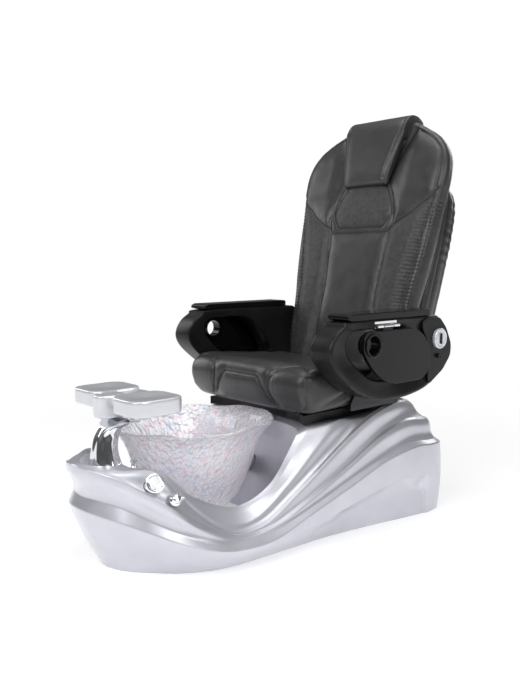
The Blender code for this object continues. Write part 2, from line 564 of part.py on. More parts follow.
def seat_frame():
    """Pan on two runners, with cheeks for the recline pins and brackets for the armrests."""
    top = CUSHION_Z - GAP
    plate = box((-0.205, -0.005, SEAT_PAN_Z), (0.205, 0.395, top - 0.002))
    pan = add("seat_frame", plate, "steel", on="seat_axis")
    for side in (-1, 1):
        x = side * RAIL_X
        join(pan, box((x - 0.013, 0.102, 0.3880), (x + 0.013, 0.402, SEAT_PAN_Z + 0.002)))
        cheek = [(0.330, SEAT_PAN_Z + 0.001), (0.425, SEAT_PAN_Z + 0.001), (0.425, 0.470)]
        cheek += [(0.415, 0.495), (0.385, 0.495), (0.372, 0.470)]
        low, high = sorted((side * 0.2905, side * 0.2835))
        join(pan, prism(cheek, "x", low, high))
        for y in (0.165, 0.345):
            low, high = sorted((side * 0.200, side * 0.3055))
            join(pan, box((low, y, SEAT_PAN_Z + 0.0005), (high, y + 0.030, top - 0.0025)))
        plate = [(0.150, SEAT_PAN_Z + 0.0015), (0.380, SEAT_PAN_Z + 0.0015), (0.380, 0.440), (0.345, 0.515)]
        plate += [(0.200, 0.515), (0.150, 0.440)]
        low, high = sorted((side * 0.3035, side * (ARM_INNER_X - GAP)))
        join(pan, prism(plate, "x", low, high))
    pivot = RECLINE_PIVOT
    cut(pan, rod((-0.32, pivot.y, pivot.z), (-0.27, pivot.y, pivot.z), 0.0064, 16))
    cut(pan, rod((0.27, pivot.y, pivot.z), (0.32, pivot.y, pivot.z), 0.0064, 16))
    for name, side in SIDES:
        pin = rod((side * 0.2690, pivot.y, pivot.z), (side * 0.2960, pivot.y, pivot.z), 0.0060)
        add(f"recline_pin_{name}", pin, "chrome", on="seat_axis")
    piston = rod((0, 0.120, 0.3975), (0, 0.400, 0.3975), 0.0080, 16)
    shaft = add("slide_rod", piston, "chrome", on="seat_axis")
    join(shaft, box((-0.012, 0.110, 0.3880), (0.012, 0.130, SEAT_PAN_Z - GAP)))


def seat_cushion():
    """Thick front roll that falls to a thinner seat; plain here, with rounded edges."""
    profile = [(0.000, CUSHION_Z), (-0.052, 0.452), (-0.068, 0.500), (-0.060, 0.545), (-0.020, 0.568)]
    profile += [(0.060, 0.566), (0.240, 0.548), (0.368, 0.540), (0.368, CUSHION_Z)]
    width = SEAT_HALF_WIDTH
    block = prism(profile, "x", -width, width)
    cushion = add("seat_cushion", block, "leather", on="seat_axis", bevel=0.016, segments=2)
    for side in (-1, 1):
        low, high = sorted((side * 0.262, side * 0.32))
        cut(cushion, prism([(0.30, 0.40), (0.44, 0.40), (0.44, 0.60), (0.30, 0.60)], "x", low, high))


ARM_OUTLINE = [  # y, z from the front of the top round the front and the underside
    (0.060, 0.7235), (0.012, 0.7080), (-0.030, 0.6780), (-0.050, 0.6350), (-0.034, 0.5930), (0.020, 0.5430),
    (0.090, 0.4950), (0.175, 0.4620), (0.260, 0.4550), (0.350, 0.4590), (0.443, 0.4780), (0.530, 0.5250),
    (0.578, 0.5750), (0.580, 0.6200), (0.545, 0.6800), (0.500, 0.7200), (0.455, 0.7235),
]  # fmt: skip
ARM_OPENING = [
    (0.075, 0.6930), (0.040, 0.6820), (0.027, 0.6570), (0.045, 0.6150), (0.100, 0.5650), (0.170, 0.5300),
    (0.300, 0.5250), (0.360, 0.5450), (0.345, 0.5850), (0.310, 0.6320), (0.270, 0.6700), (0.210, 0.6930),
]  # fmt: skip
TRAY_OUTLINE = [
    (0.098, 0.6900), (0.340, 0.6900), (0.386, 0.6680), (0.413, 0.6380), (0.432, 0.5930), (0.424, 0.5450),
    (0.396, 0.5170), (0.360, 0.5120), (0.235, 0.5120), (0.183, 0.5290), (0.138, 0.5580), (0.104, 0.5950),
    (0.080, 0.6300), (0.082, 0.6700),
]  # fmt: skip


def armrest(name, side):
    def slab(outline, low, high):
        return mirrored(lambda: prism(outline, "x", low, high), side)

    ring = slab(ARM_OUTLINE, ARM_INNER_X, ARM_OUTER_X)
    shell = add(f"armrest_{name}", ring, "matte_black", "seat_axis", 0.012, 2)
    cut(shell, slab(ARM_OPENING, ARM_INNER_X - 0.02, ARM_OUTER_X + 0.02))
    plate = [(0.040, 0.7242), (0.028, 0.7300), (0.030, 0.7400), (0.044, 0.7460)]
    plate += [(0.444, 0.7470), (0.450, 0.7420), (0.450, 0.7242)]
    add(f"arm_top_{name}", slab(plate, ARM_INNER_X + 0.002, ARM_OUTER_X), "gloss_black", "seat_axis", 0.003)
    cover = [(0.436, 0.7190), (0.500, 0.7160), (0.540, 0.6780), (0.572, 0.6190)]
    cover += [(0.570, 0.5780), (0.526, 0.5300), (0.443, 0.4840)]
    cover += [(0.436, 0.5200), (0.444, 0.5900), (0.424, 0.6500), (0.402, 0.6800), (0.402, 0.7040)]
    panel = slab(cover, ARM_OUTER_X + GAP, ARM_OUTER_X + 0.006)
    add(f"arm_cover_{name}", panel, "matte_black", "seat_axis", 0.0015)

    # Hinge: knuckles on a leaf fixed to the armrest alternate with the tray's own round one pin.
    hinge_y = ((0.150, 0.178), (0.182, 0.228), (0.232, 0.260))
    leaf = add(
        f"tray_hinge_{name}",
        mirrored(lambda: box((ARM_OUTER_X + GAP, 0.150, 0.698), (0.4040, 0.260, 0.7180)), side),
        "chrome",
        "seat_axis",
    )
    hinge_x = TRAY_HINGE.x * side
    for low, high in hinge_y[::2]:
        join(leaf, rod((hinge_x, low, TRAY_HINGE.z), (hinge_x, high, TRAY_HINGE.z), 0.0060, 12))
        join(leaf, mirrored(lambda: box((0.4030, low, 0.7045), (0.4120, high, 0.7095)), side))
    cut(leaf, rod((hinge_x, 0.14, TRAY_HINGE.z), (hinge_x, 0.27, TRAY_HINGE.z), 0.0031, 12))
    pin = rod((hinge_x, 0.149, TRAY_HINGE.z), (hinge_x, 0.261, TRAY_HINGE.z), 0.0027, 12)
    add(f"tray_pin_{name}", pin, "chrome", "seat_axis")

    axis = f"tray_{name}_axis"
    tray = add(f"tray_{name}", slab(TRAY_OUTLINE, TRAY_INNER_X, TRAY_OUTER_X), "gloss_black", axis, 0.0025)
    low, high = hinge_y[1]
    join(tray, rod((hinge_x, low, TRAY_HINGE.z), (hinge_x, high, TRAY_HINGE.z), 0.0060, 12))
    join(tray, mirrored(lambda: box((0.4090, low, 0.686), (0.4160, high, 0.7040)), side))
    cut(tray, rod((hinge_x, 0.14, TRAY_HINGE.z), (hinge_x, 0.27, TRAY_HINGE.z), 0.0031, 12))
    cup_y, cup_z = CUP_YZ
    cut(tray, rod((0.38 * side, cup_y, cup_z), (0.44 * side, cup_y, cup_z), 0.0345, 24))
    cup = [(0.0300, 0), (0.0340, 0), (0.0340, 0.0365), (0.0385, 0.0368), (0.0385, 0.0410), (0.0300, 0.0410)]
    ring = turned((0.3840 * side, cup_y, cup_z), (side, 0, 0), cup, 24, hollow=True)
    add(f"cup_ring_{name}", ring, "gloss_black", axis)


def controls():
    """Round dial and push button on the left armrest's rear cover."""
    y, z = DIAL_YZ
    start = ARM_OUTER_X + 0.0064
    dial = [(0.0355, 0), (0.0355, 0.0095), (0.0325, 0.0120), (0.0260, 0.0105), (0.0100, 0.0080)]
    shape = add("control_dial", turned((start, y, z), (1, 0, 0), dial, 28), "silver_trim", on="dial_axis")
    grip = box((start + 0.006, y - 0.004, z - 0.020), (start + 0.0135, y + 0.004, z + 0.020))
    join(shape, grip)
    button = [(0.0085, 0), (0.0085, 0.0060), (0.0065, 0.0080)]
    cap = turned((start + 0.0025, y - 0.002, z - 0.060), (1, 0, 0), button, 16)
    add("call_button", cap, "gloss_black", on="button_axis")


# Back, drawn as (x, depth behind the front surface, height along the lean).
BACK_WIDTHS = (  # height along the lean, half width, front depth
    (0.045, 0.272, 0.004), (0.140, 0.288, 0.000), (0.290, 0.297, 0.000), (0.400, 0.312, 0.000),
    (0.560, 0.324, 0.000), (0.700, 0.333, 0.002), (0.790, 0.340, 0.006), (0.860, 0.322, 0.014),
    (0.920, 0.264, 0.021), (0.965, 0.185, 0.028), (0.992, 0.138, 0.038),
)  # fmt: skip


def back_loop(half, front, rear, height, corner=0.032):
    outline = [(-half, front), (half, front), (half * 0.96, rear), (-half * 0.96, rear)]
    return [Vector((x, d, height)) for x, d in rounded(outline, corner, 3)]


def back_cushion():
    loops = [back_loop(w, d, CUSHION_DEPTH, h) for h, w, d in BACK_WIDTHS]
    add("back_cushion", leaned(loft(loops)), "leather", on="recline_axis")


def headrest():
    """Flap pillow over the top of the back, standing proud of the front."""
    profile = [
        (-0.005, 0.7400), (-0.024, 0.7500), (-0.022, 0.8500), (-0.006, 0.9600), (0.020, 1.0060),
        (0.060, 1.0170), (0.0945, 1.0040), (0.0600, 0.9945), (0.0360, 0.9935), (0.0170, 0.9600),
        (0.0100, 0.9100), (0.0025, 0.8500), (-0.0020, 0.7800),
    ]  # fmt: skip
    wide, narrow, low, high = 0.140, 0.100, 0.745, 0.950
    bm = prism(profile, "x", -wide, wide)
    for vert in bm.verts:
        share = min(max((vert.co.z - low) / (high - low), 0), 1)
        vert.co.x *= (narrow + (wide - narrow) * share) / wide
    add("headrest_pillow", leaned(bm), "leather", on="recline_axis")


SHELL_WIDTHS = (  # height along the lean, half width at the back, rear depth
    (0.050, 0.225, 0.150), (0.120, 0.245, 0.205), (0.300, 0.262, 0.213), (0.560, 0.272, SHELL_DEPTH),
    (0.700, 0.268, SHELL_DEPTH - 0.002), (0.760, 0.240, 0.195), (0.800, 0.180, 0.150),
)  # fmt: skip


def back_shell():
    """Rear cover, open towards the cushion and below, round the massage mechanism."""
    front = CUSHION_DEPTH + GAP
    outside, inside = [], []
    for height, half, rear in SHELL_WIDTHS:
        outline = [(-half - 0.028, front), (half + 0.028, front), (half, rear), (-half, rear)]
        outside.append([Vector((x, d, height)) for x, d in rounded(outline, 0.030, 3)])
        hollow = rounded([(x * 0.90, front + (d - front) * 0.88) for x, d in outline], 0.020, 3)
        inside.append([Vector((x, d, height)) for x, d in hollow])
    shell = add("back_shell", leaned(loft(outside)), "leather", on="recline_axis")
    low, high = 0.030, 0.745  # open below, where the frame comes out
    heights = [low, *[height for height, _, _ in SHELL_WIDTHS[1:-2]], high]
    inside = [[Vector((p.x, p.y, height)) for p in loop] for loop, height in zip(inside, heights)]
    opening = [p.copy() for loop in inside for p in loop]
    for p in opening:
        if p.y < front + 0.02:
            p.y = front - 0.03
    size = len(inside[0])
    cut(shell, leaned(loft([opening[i : i + size] for i in range(0, len(opening), size)])))


def back_frame():
    """Side plates on the recline pins, two uprights and cross bars behind the cushion."""
    pivot = RECLINE_PIVOT
    depth = CUSHION_DEPTH + 0.002
    low_bar = box((-0.165, depth + 0.001, 0.090), (0.165, depth + 0.021, 0.112))
    frame = add("back_frame", leaned(low_bar), "steel", on="recline_axis")
    join(frame, leaned(box((-0.165, depth + 0.001, 0.700), (0.165, depth + 0.021, 0.722))))
    plate = [(-0.012, -0.014), (0.012, -0.014), (depth + 0.007, 0.022), (depth + 0.007, 0.039)]
    plate += [(0.080, 0.039), (-0.012, 0.014)]
    for side in (-1, 1):
        for low, high in (
            ((0.155, depth, 0.085), (0.175, depth + 0.022, 0.730)),
            ((0.150, depth - 0.010, 0.023), (0.2825, depth + 0.008, 0.040)),
            ((0.157, depth + 0.001, 0.024), (0.173, depth + 0.010, 0.100)),
        ):
            join(frame, leaned(mirrored(lambda: box(low, high), side)))
        join(frame, leaned(mirrored(lambda: prism(plate, "x", 0.2765, 0.2828), side)))
    cut(frame, rod((-0.30, pivot.y, pivot.z), (0.30, pivot.y, pivot.z), 0.0064, 16))


def massage():
    """Carriage that climbs two guide rails, with kneading rollers on one axle."""
    rail_depth, rail_low, rail_high = 0.130, 0.115, 0.695
    for name, side in SIDES:
        start, end = (side * 0.110, rail_depth, rail_low), (side * 0.110, rail_depth, rail_high)
        add(f"massage_rail_{name}", leaned(rod(start, end, 0.006, 12)), "chrome", on="recline_axis")
    middle = 0.300
    body = box((-0.085, 0.150, middle - 0.045), (0.085, 0.186, middle + 0.045))
    carriage = add("massage_carriage", leaned(body), "grey_plastic", on="massage_axis")
    for side in (-1, 1):
        for low, high in (
            ((0.080, 0.117, middle - 0.025), (0.123, 0.165, middle + 0.025)),
            ((0.030, 0.112, middle - 0.010), (0.036, 0.153, middle + 0.010)),
            ((0.062, 0.112, middle - 0.010), (0.068, 0.153, middle + 0.010)),
        ):
            join(carriage, leaned(mirrored(lambda: box(low, high), side)))
        guide = [(side * 0.110, rail_depth, middle + end) for end in (-0.06, 0.06)]
        cut(carriage, leaned(rod(*guide, 0.0066, 12)))
    cut(carriage, leaned(rod((-0.09, 0.124, middle), (0.09, 0.124, middle), 0.0044, 12)))
    wheel = [(0.0050, 0), (0.0200, 0), (0.0225, 0.006)]
    wheel += [(0.0225, 0.018), (0.0200, 0.0236), (0.0050, 0.0236)]
    for name, side in SIDES:
        start = Vector((side * 0.0372, 0.124, middle))
        bm = leaned(turned(start, (side, 0, 0), wheel, 20, hollow=True))
        add(f"massage_roller_{name}", bm, "rubber", on=f"roller_{name}_axis")
    axle = leaned(rod((-0.0700, 0.124, middle), (0.0700, 0.124, middle), 0.0040, 12))
    add("roller_axle", axle, "steel", on="massage_axis")


def main():
    clear_scene()
    add_axis("chair", Vector((0, -(FRONT_Y + REAR_Y) / 2, 0)))
    AXES["chair"] = (AXES["chair"][0], Vector())
    middle_roller = RECLINE_PIVOT + Matrix.Rotation(-LEAN, 3, "X") @ Vector((0, 0.124, 0.300))
    for name, place, parent in (
        ("seat_axis", Vector((0, 0.2, SEAT_PAN_Z)), "chair"),
        ("recline_axis", RECLINE_PIVOT, "seat_axis"),
        ("massage_axis", middle_roller, "recline_axis"),
        ("roller_left_axis", middle_roller, "massage_axis"),
        ("roller_right_axis", middle_roller, "massage_axis"),
        ("tray_left_axis", TRAY_HINGE, "seat_axis"),
        ("tray_right_axis", Vector((-TRAY_HINGE.x, 0, TRAY_HINGE.z)), "seat_axis"),
        ("dial_axis", Vector((ARM_OUTER_X, *DIAL_YZ)), "seat_axis"),
        ("button_axis", Vector((ARM_OUTER_X, *DIAL_YZ)), "seat_axis"),
        ("footrest_axis", FOOTREST_PIVOT, "chair"),
        ("hand_shower_axis", SHOWER_CENTRE, "chair"),
        ("mixer_knob_axis", MIXER_CENTRE, "chair"),
        ("drain_knob_axis", DRAIN_KNOB_CENTRE, "chair"),
        ("drain_stopper_axis", BOWL_CENTRE, "chair"),
        ("jet_axis", JET_CENTRE, "chair"),
    ):
        add_axis(name, place, parent)
    base_shell()
    base_frame()
    bowl()
    drain()
    jet()
    water_controls()
    footrest()
    electrics()
    slide_base()
    seat_frame()
    seat_cushion()
    for name, side in SIDES:
        armrest(name, side)
    controls()
    back_cushion()
    headrest()
    back_shell()
    back_frame()
    massage()


main()
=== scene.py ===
"""Looks of the pedicure spa chair: pearl base, rippled glass bowl, upholstery, armrests, fittings.

Shapes are drawn in the chair's own coordinates: it faces -Y, X = 0 is its plane of symmetry and the
floor is Z = 0. place() takes them to the frame. The back is drawn as (x, depth, height) in the plane
that it leans in, and back_place() takes those to the frame. Sizes are in metres.
"""

import json
import math

import bmesh
import bpy
import numpy as np
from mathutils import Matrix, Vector, noise
from mathutils.bvhtree import BVHTree
from mathutils.kdtree import KDTree


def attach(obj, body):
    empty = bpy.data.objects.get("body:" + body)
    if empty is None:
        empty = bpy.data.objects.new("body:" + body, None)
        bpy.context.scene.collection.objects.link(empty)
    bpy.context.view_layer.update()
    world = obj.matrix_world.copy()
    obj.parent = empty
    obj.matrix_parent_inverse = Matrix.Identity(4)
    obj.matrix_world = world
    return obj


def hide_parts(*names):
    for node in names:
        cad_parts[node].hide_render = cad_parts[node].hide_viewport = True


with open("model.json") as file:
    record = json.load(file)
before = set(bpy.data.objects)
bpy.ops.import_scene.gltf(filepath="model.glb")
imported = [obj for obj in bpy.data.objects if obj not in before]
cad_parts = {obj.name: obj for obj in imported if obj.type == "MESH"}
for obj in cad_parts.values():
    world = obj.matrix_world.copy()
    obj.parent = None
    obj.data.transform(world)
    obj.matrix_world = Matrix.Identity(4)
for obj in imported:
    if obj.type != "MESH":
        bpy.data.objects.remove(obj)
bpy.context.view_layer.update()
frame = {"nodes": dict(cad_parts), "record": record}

JOINTS = {joint["name"]: joint for joint in frame["record"]["behaviour"]["joints"]}
BODY_OF = {node: body for body, nodes in frame["record"]["behaviour"]["bodies"].items() for node in nodes}
SLOT_OF = {part["node"]: part["material_slot"] for part in frame["record"]["subparts"]}

PIVOT = np.array(JOINTS["back_recline"]["pos_m"])
SHIFT = np.array([0, PIVOT[1] - 0.400, 0])  # from the chair's coordinates to the frame
LEAN_UP = np.array(JOINTS["massage_travel"]["axis"])
LEAN_REAR = np.array([0, LEAN_UP[2], -LEAN_UP[1]])
SIDES = (("left", 1), ("right", -1))


def place(points):
    return np.asarray(points, float) + SHIFT


def back_place(points):
    points = np.asarray(points, float)
    x, depth, height = points[..., 0:1], points[..., 1:2], points[..., 2:3]
    return PIVOT + x * np.array([1, 0, 0]) + depth * LEAN_REAR + height * LEAN_UP


def mm(table):
    """A table written in millimetres, in metres."""
    return np.array(table, float) / 1000


# Curves and meshes.
def unit(vectors):
    return vectors / np.maximum(np.linalg.norm(vectors, axis=-1, keepdims=True), 1e-9)


def ease(values, low, high):
    """0 below low, 1 above high, smooth between."""
    t = np.clip((np.asarray(values, float) - low) / (high - low), 0, 1)
    return t * t * (3 - 2 * t)


def curve(points, steps, closed=False, ends=None):
    """Catmull-Rom curve through the points. ends are the points before the first and after the last."""
    points = np.array(points, float)
    if closed:
        padded = np.vstack([points[-1:], points, points[:2]])
    else:
        before, after = ends or (2 * points[0] - points[1], 2 * points[-1] - points[-2])
        padded = np.vstack([before, points, after])
    t = (np.arange(steps) / steps)[:, None]
    pieces = []
    for a, b, c, d in zip(padded, padded[1:], padded[2:], padded[3:]):
        bend, twist = 2 * a - 5 * b + 4 * c - d, 3 * b - a - 3 * c + d
        pieces.append(0.5 * (2 * b + (c - a) * t + bend * t**2 + twist * t**3))
    return np.vstack(pieces) if closed else np.vstack([*pieces, points[-1:]])


def resampled(points, count, closed=False):
    """The same line with this many evenly spaced points."""
    line = np.vstack([points, points[:1]]) if closed else np.asarray(points)
    along = np.r_[0, np.cumsum(np.linalg.norm(np.diff(line, axis=0), axis=1))]
    places = np.linspace(0, along[-1], count + closed)[:count]
    return np.stack([np.interp(places, along, line[:, k]) for k in range(line.shape[1])], axis=1)


def rounded(outline, radius, steps=6, share=0.48, closed=True):
    """The outline with its corners replaced by arcs of about this radius, or less beside a short edge."""
    points = np.array(outline, float)
    result = []
    for i, corner in enumerate(points):
        if not closed and i in (0, len(points) - 1):
            result.append(corner)
            continue
        before, after = points[i - 1] - corner, points[(i + 1) % len(points)] - corner
        reach = min(radius, np.linalg.norm(before) * share, np.linalg.norm(after) * share)
        start, end = corner + unit(before) * reach, corner + unit(after) * reach
        for t in np.linspace(0, 1, steps + 1):
            result.append((1 - t) ** 2 * start + 2 * t * (1 - t) * corner + t * t * end)
    return np.array(result)


def make(name, points, faces, material=None):
    mesh = bpy.data.meshes.new(name)
    mesh.from_pydata(np.asarray(points, float).tolist(), [], [tuple(face) for face in faces])
    mesh.update()
    mesh.shade_smooth()
    obj = bpy.data.objects.new(name, mesh)
    bpy.context.scene.collection.objects.link(obj)
    for one in material if isinstance(material, (list, tuple)) else [material]:
        if one:
            mesh.materials.append(one)
    return obj


def strip_faces(rows, columns, loop_rows=False):
    """Quads between rows whose ends meet."""
    faces = []
    for i in range(rows if loop_rows else rows - 1):
        j = (i + 1) % rows
        for k in range(columns):
            after = (k + 1) % columns
            faces.append((i * columns + k, i * columns + after, j * columns + after, j * columns + k))
    return faces


def capped(name, rows, material):
    """A solid through rows of points, flat at both ends."""
    count = len(rows[0])
    last = (len(rows) - 1) * count
    faces = strip_faces(len(rows), count) + [tuple(range(count))[::-1], tuple(range(last, last + count))]
    obj = make(name, np.vstack(rows), faces, material)
    fix_normals(obj)
    return obj


def ringed(name, rows, material, caps=0):
    """A solid through closed rows, whose ends close on themselves (caps 0) or by ever smaller rings."""
    rows = [np.asarray(row, float) for row in rows]
    if caps:
        shrink = np.linspace(0, 1, caps + 2)[1:-1]
        first = [rows[0] + (rows[0].mean(0) - rows[0]) * s for s in shrink[::-1]]
        last = [rows[-1] + (rows[-1].mean(0) - rows[-1]) * s for s in shrink]
        return capped(name, first + rows + last, material)
    obj = make(name, np.vstack(rows), strip_faces(len(rows), len(rows[0]), True), material)
    fix_normals(obj)
    return obj


def fix_normals(obj):
    bm = bmesh.new()
    bm.from_mesh(obj.data)
    bmesh.ops.recalc_face_normals(bm, faces=bm.faces)
    if bm.calc_volume(signed=True) < 0:
        bmesh.ops.reverse_faces(bm, faces=bm.faces)
    bm.to_mesh(obj.data)
    bm.free()


def vertex_arrays(obj):
    """The positions and normals of its vertices."""
    count = len(obj.data.vertices)
    points, normals = np.empty(count * 3), np.empty(count * 3)
    obj.data.vertices.foreach_get("co", points)
    obj.data.vertices.foreach_get("normal", normals)
    return points.reshape(-1, 3), normals.reshape(-1, 3)


def move_vertices(obj, points):
    obj.data.vertices.foreach_set("co", points.ravel())


def baked(obj):
    """The mesh with its modifiers applied."""
    bpy.context.view_layer.update()
    graph = bpy.context.evaluated_depsgraph_get()
    mesh = bpy.data.meshes.new_from_object(obj.evaluated_get(graph))
    obj.modifiers.clear()
    obj.data = mesh
    return obj


def cut(obj, other):
    modifier = obj.modifiers.new("cut", "BOOLEAN")
    modifier.operation = "DIFFERENCE"
    modifier.solver = "MANIFOLD"
    modifier.object = other
    baked(obj)
    bpy.data.objects.remove(other)
    return obj


def even_shading(obj, angle):
    """Shading that bends round edges up to this angle and breaks at sharper ones."""
    obj.data.set_sharp_from_angle(angle=math.radians(angle))
    obj.modifiers.new("even shading", "WEIGHTED_NORMAL").keep_sharp = True
    return obj


def crisp(obj, angle=32, bevel=0.0, segments=3):
    """Rounded edges where asked, and shading that stays flat beside a narrow fillet."""
    if bevel:
        modifier = obj.modifiers.new("edges", "BEVEL")
        modifier.width = bevel
        modifier.segments = segments
        modifier.limit_method = "ANGLE"
        modifier.angle_limit = math.radians(angle)
        modifier.harden_normals = False
    obj.data.shade_smooth()
    return even_shading(obj, 60 if bevel else angle)


def full_turn(count):
    return np.linspace(0, 2 * math.pi, count, endpoint=False)


def square_to(axis):
    """Two directions square to the axis and to each other."""
    side = np.array(Vector(axis).orthogonal().normalized())
    return side, np.cross(axis, side)


def circle(centre, axis, radius, count):
    side, other = square_to(Vector(axis).normalized())
    turns = full_turn(count)[:, None]
    return np.asarray(centre) + radius * (np.cos(turns) * side + np.sin(turns) * other)


def turned(name, start, axis, profile, material, count=64, hollow=False, soft=0.0006):
    """A round piece from (radius, height along the axis) points; a hollow one is a ring."""
    axis = unit(np.array(axis, float))
    profile = rounded(profile, soft, 2, 0.45, hollow)
    rows = [circle(np.asarray(start) + axis * h, axis, max(r, 1e-5), count) for r, h in profile]
    return crisp(ringed(name, rows, material) if hollow else capped(name, rows, material), 40)


def rod(radius, length):
    """The profile of a plain rod, from millimetres."""
    return mm([(0, 0), (radius, 0), (radius, length), (0, length)])


def slab(name, outline, low, high, material, bevel=0.0, side=1, segments=3):
    """An outline in (y, z), extruded along X from low to high, on the left (1) or the right (-1)."""
    outline = np.asarray(outline)
    rows = [place(np.c_[np.full(len(outline), x * side), outline]) for x in (low, high)]
    obj = capped(name, rows, material)
    return crisp(obj, 32, bevel, segments) if bevel else obj


def block(name, low, high, material, bevel=0.001):
    outline = [(low[1], low[2]), (high[1], low[2]), (high[1], high[2]), (low[1], high[2])]
    return slab(name, outline, low[0], high[0], material, bevel)


def merged(name, *objects):
    """The objects as one, with their modifiers applied."""
    for obj in objects:
        baked(obj)
    points, faces, owners, materials = [], [], [], []
    for obj in objects:
        base = len(points)
        slots = []
        for material in obj.data.materials:
            if material not in materials:
                materials.append(material)
            slots.append(materials.index(material))
        points += [tuple(v.co) for v in obj.data.vertices]
        faces += [tuple(base + v for v in face.vertices) for face in obj.data.polygons]
        owners += [slots[face.material_index] for face in obj.data.polygons]
        bpy.data.objects.remove(obj)
    whole = make(name, points, faces, materials)
    whole.data.polygons.foreach_set("material_index", owners)
    return even_shading(whole, 40)


def stands_for(obj, *nodes):
    """The piece rides where its CAD node does, and is shown in its place."""
    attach(obj, BODY_OF[nodes[0]])
    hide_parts(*nodes)
    return obj


# Materials.
def set_stops(ramp, stops):
    """Stops as (position, colour) on a Color Ramp node."""
    elements = ramp.color_ramp.elements
    while len(elements) < len(stops):
        elements.new(0.5)
    for element, (position, colour) in zip(elements, stops):
        element.position = position
        element.color = (*colour, 1)


def wired(tree, node, **inputs):
    """The node, with each input set to the value, or linked to the socket, given under its name."""
    for name, value in inputs.items():
        socket = node.inputs[name.replace("_", " ")]
        if isinstance(value, bpy.types.NodeSocket):
            tree.links.new(value, socket)
        else:
            socket.default_value = value
    return node


def blended(tree, share, first, second, output):
    """Two shaders mixed by the share, as the surface of the tree's output node."""
    mix = wired(tree, tree.nodes.new("ShaderNodeMixShader"), Fac=share)
    tree.links.new(first, mix.inputs[1])
    tree.links.new(second, mix.inputs[2])
    wired(tree, tree.nodes[output], Surface=mix.outputs["Shader"])


class Finish:
    """A Principled material, with textures in the object's own coordinates."""

    def __init__(self, name, colour, metallic=0.0, roughness=0.5, **sockets):
        self.material = bpy.data.materials.new(name)
        self.material.use_nodes = True
        self.tree = self.material.node_tree
        self.shader = self.tree.nodes["Principled BSDF"]
        self.shade(Base_Color=(*colour, 1), Metallic=metallic, Roughness=roughness, **sockets)
        self.place = self.node("ShaderNodeTexCoord").outputs["Object"]
        self.normal = None

    def node(self, kind, **inputs):
        return wired(self.tree, self.tree.nodes.new(kind), **inputs)

    def shade(self, **inputs):
        wired(self.tree, self.shader, **inputs)
        return self

    def noise(self, scale, detail=4.0, rough=0.55, stretch=None):
        at = self.stretched(stretch)
        return self.node(
            "ShaderNodeTexNoise", Vector=at, Scale=scale, Detail=detail, Roughness=rough
        ).outputs["Fac"]

    def cells(self, scale, stretch=None):
        at = self.stretched(stretch)
        return self.node("ShaderNodeTexVoronoi", Vector=at, Scale=scale).outputs["Distance"]

    def stretched(self, stretch):
        if stretch is None:
            return self.place
        return self.node("ShaderNodeMapping", Vector=self.place, Scale=stretch).outputs["Vector"]

    def ramp(self, value, stops):
        node = self.node("ShaderNodeValToRGB", Fac=value)
        set_stops(node, stops)
        return node.outputs["Color"]

    def bump(self, height, strength, distance):
        node = self.node("ShaderNodeBump", Strength=strength, Distance=distance, Height=height)
        if self.normal:
            wired(self.tree, node, Normal=self.normal)
        self.normal = node.outputs["Normal"]
        return self.shade(Normal=self.normal)

    def colour(self, value, stops):
        return self.shade(Base_Color=self.ramp(value, stops))

    def roughness(self, value, low, high):
        return self.shade(Roughness=self.ramp(value, [(0.3, (low,) * 3), (0.7, (high,) * 3)]))

    def painted_seam_shade(self):
        """Painted shade in the seam grooves: the leather's colour darkens where pieces give the point
        attribute named seam a high value.
        """
        plain = self.shader.inputs["Base Color"].links[0].from_socket
        seam_shade_mask = self.node("ShaderNodeAttribute")
        seam_shade_mask.attribute_name = "seam"
        mix = self.node("ShaderNodeMix")
        mix.data_type = "RGBA"
        mix.blend_type = "MULTIPLY"
        wired(self.tree, mix, A=plain, B=(*SEAM_PAINTED_SHADE, 1), Factor=seam_shade_mask.outputs["Fac"])
        return self.shade(Base_Color=mix.outputs["Result"])


# Painted shade in the seam grooves: the leather's own colour is multiplied by this there.
SEAM_PAINTED_SHADE = (0.08, 0.08, 0.08)


def pearl():
    finish = Finish(
        "pearl_gelcoat", (0.62, 0.63, 0.68), 0.60, 0.36, Coat_Weight=0.40, Coat_Roughness=0.14
    )
    finish.colour(finish.noise(7, 3), [(0.30, (0.58, 0.585, 0.64)), (0.70, (0.66, 0.665, 0.72))])
    finish.roughness(finish.noise(24, 5), 0.31, 0.39)
    return finish.bump(finish.cells(2600), 0.03, 0.00002).material


def leather():
    tone = 0.028
    finish = Finish(
        "smooth_leather", (tone,) * 3, 0.0, 0.40,
        Specular_IOR_Level=0.5, Coat_Weight=0.12, Coat_Roughness=0.30,
    )
    dark, light = tone * 0.80, tone * 1.22
    finish.colour(finish.noise(11, 5), [(0.35, (dark,) * 3), (0.68, (light, light, light * 1.02))])
    # Painted shade darkens the seam grooves.
    finish.painted_seam_shade()
    finish.roughness(finish.noise(36, 4), 0.30, 0.42)
    finish.bump(finish.noise(28, 3), 0.22, 0.0016)
    return finish.bump(finish.cells(620), 0.55, 0.00032).material


def quilted_leather():
    """Embossed upholstery of the side bolsters and of the piece under the headrest."""
    tone = 0.031
    finish = Finish("embossed_leather", (tone,) * 3, 0.0, 0.50, Sheen_Weight=0.10, Sheen_Roughness=0.4)
    finish.colour(finish.noise(60, 6), [(0.32, (tone * 0.62,) * 3), (0.70, (tone * 1.35,) * 3)])
    # Painted shade darkens the seam grooves.
    finish.painted_seam_shade()
    finish.roughness(finish.noise(90, 3), 0.42, 0.58)
    finish.bump(finish.noise(55, 4, 0.6), 0.40, 0.0014)
    return finish.bump(finish.cells(240, stretch=(1, 1, 0.6)), 0.65, 0.0007).material


def gloss_black():
    finish = Finish("gloss_black", (0.005, 0.005, 0.006), 0.0, 0.07, Specular_IOR_Level=0.24)
    finish.roughness(finish.noise(30, 5), 0.05, 0.11)
    return finish.bump(finish.noise(9, 2), 0.06, 0.0008).material


